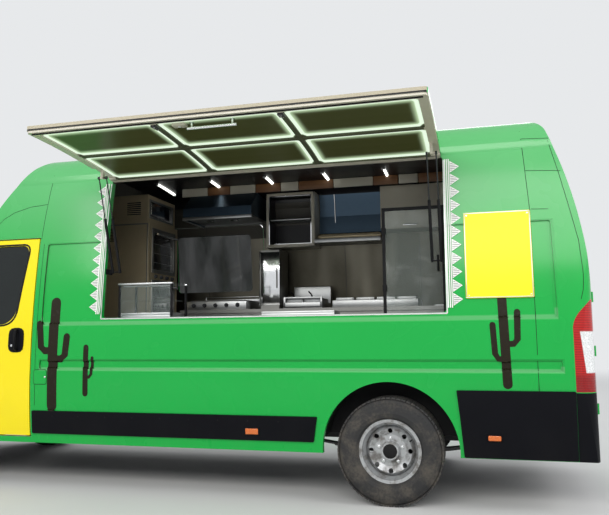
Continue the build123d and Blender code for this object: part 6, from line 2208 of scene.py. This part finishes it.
class TRUCK_OT_sides(bpy.types.Operator):
    """Fit the side lamps, filler flap, power inlet, vent and moulding screws"""
    bl_idname = "food_truck.sides"
    bl_label = "Side fittings"

    def execute(self, context):
        fit_sides()
        return {"FINISHED"}


class TRUCK_OT_rear(bpy.types.Operator):
    """Fit the rear handle, blank plate, brake lamp, reflectors, window seals and step tread"""
    bl_idname = "food_truck.rear"
    bl_label = "Rear fittings"

    def execute(self, context):
        fit_rear()
        return {"FINISHED"}


class TRUCK_OT_front(bpy.types.Operator):
    """Fit the radiator, lamp bowls, blank plate, fog lamps, wipers and washer jets"""
    bl_idname = "food_truck.front"
    bl_label = "Front fittings"

    def execute(self, context):
        fit_front()
        return {"FINISHED"}


class TRUCK_OT_cab(bpy.types.Operator):
    """Build the cab's cushions, belts, dashboard dressing and door cards"""
    bl_idname = "food_truck.cab"
    bl_label = "Cab"

    def execute(self, context):
        fit_cab()
        return {"FINISHED"}


class TRUCK_OT_kitchen(bpy.types.Operator):
    """Fit out the ovens, range, counters, hood, wall units and display case"""
    bl_idname = "food_truck.kitchen"
    bl_label = "Kitchen"

    def execute(self, context):
        fit_kitchen()
        return {"FINISHED"}


class TRUCK_OT_underbody(bpy.types.Operator):
    """Fit the rear dampers, floor ribs and fuel tank under the floor"""
    bl_idname = "food_truck.underbody"
    bl_label = "Underbody"

    def execute(self, context):
        fit_underbody()
        return {"FINISHED"}


class TRUCK_OT_stage(bpy.types.Operator):
    """Lay the floor, light the scene and place the camera"""
    bl_idname = "food_truck.stage"
    bl_label = "Stage"

    def execute(self, context):
        set_up_stage()
        return {"FINISHED"}


OPERATORS = (TRUCK_OT_shell, TRUCK_OT_livery, TRUCK_OT_joints, TRUCK_OT_opening, TRUCK_OT_hatch, TRUCK_OT_wheels,
             TRUCK_OT_doors, TRUCK_OT_sides, TRUCK_OT_rear, TRUCK_OT_front, TRUCK_OT_cab, TRUCK_OT_kitchen,
             TRUCK_OT_underbody, TRUCK_OT_stage)


class TRUCK_PT_dressing(bpy.types.Panel):
    """The truck's settings and pieces"""
    bl_idname = "TRUCK_PT_dressing"
    bl_label = "Food Truck"
    bl_space_type = "VIEW_3D"
    bl_region_type = "UI"
    bl_category = "Food Truck"

    def draw(self, context):
        for name in FoodTruckSettings.__annotations__:
            self.layout.prop(context.scene.food_truck, name)
        for operator in OPERATORS:
            self.layout.operator(operator.bl_idname)


CLASSES = (FoodTruckSettings, *OPERATORS, TRUCK_PT_dressing)


def register():
    for kind in CLASSES:
        bpy.utils.register_class(kind)
    bpy.types.Scene.food_truck = bpy.props.PointerProperty(type=FoodTruckSettings)


def unregister():
    del bpy.types.Scene.food_truck
    for kind in reversed(CLASSES):
        bpy.utils.unregister_class(kind)


def main():
    register()
    for operator in OPERATORS:
        group, name = operator.bl_idname.split(".")
        getattr(getattr(bpy.ops, group), name)()


if __name__ == "__main__":
    main()
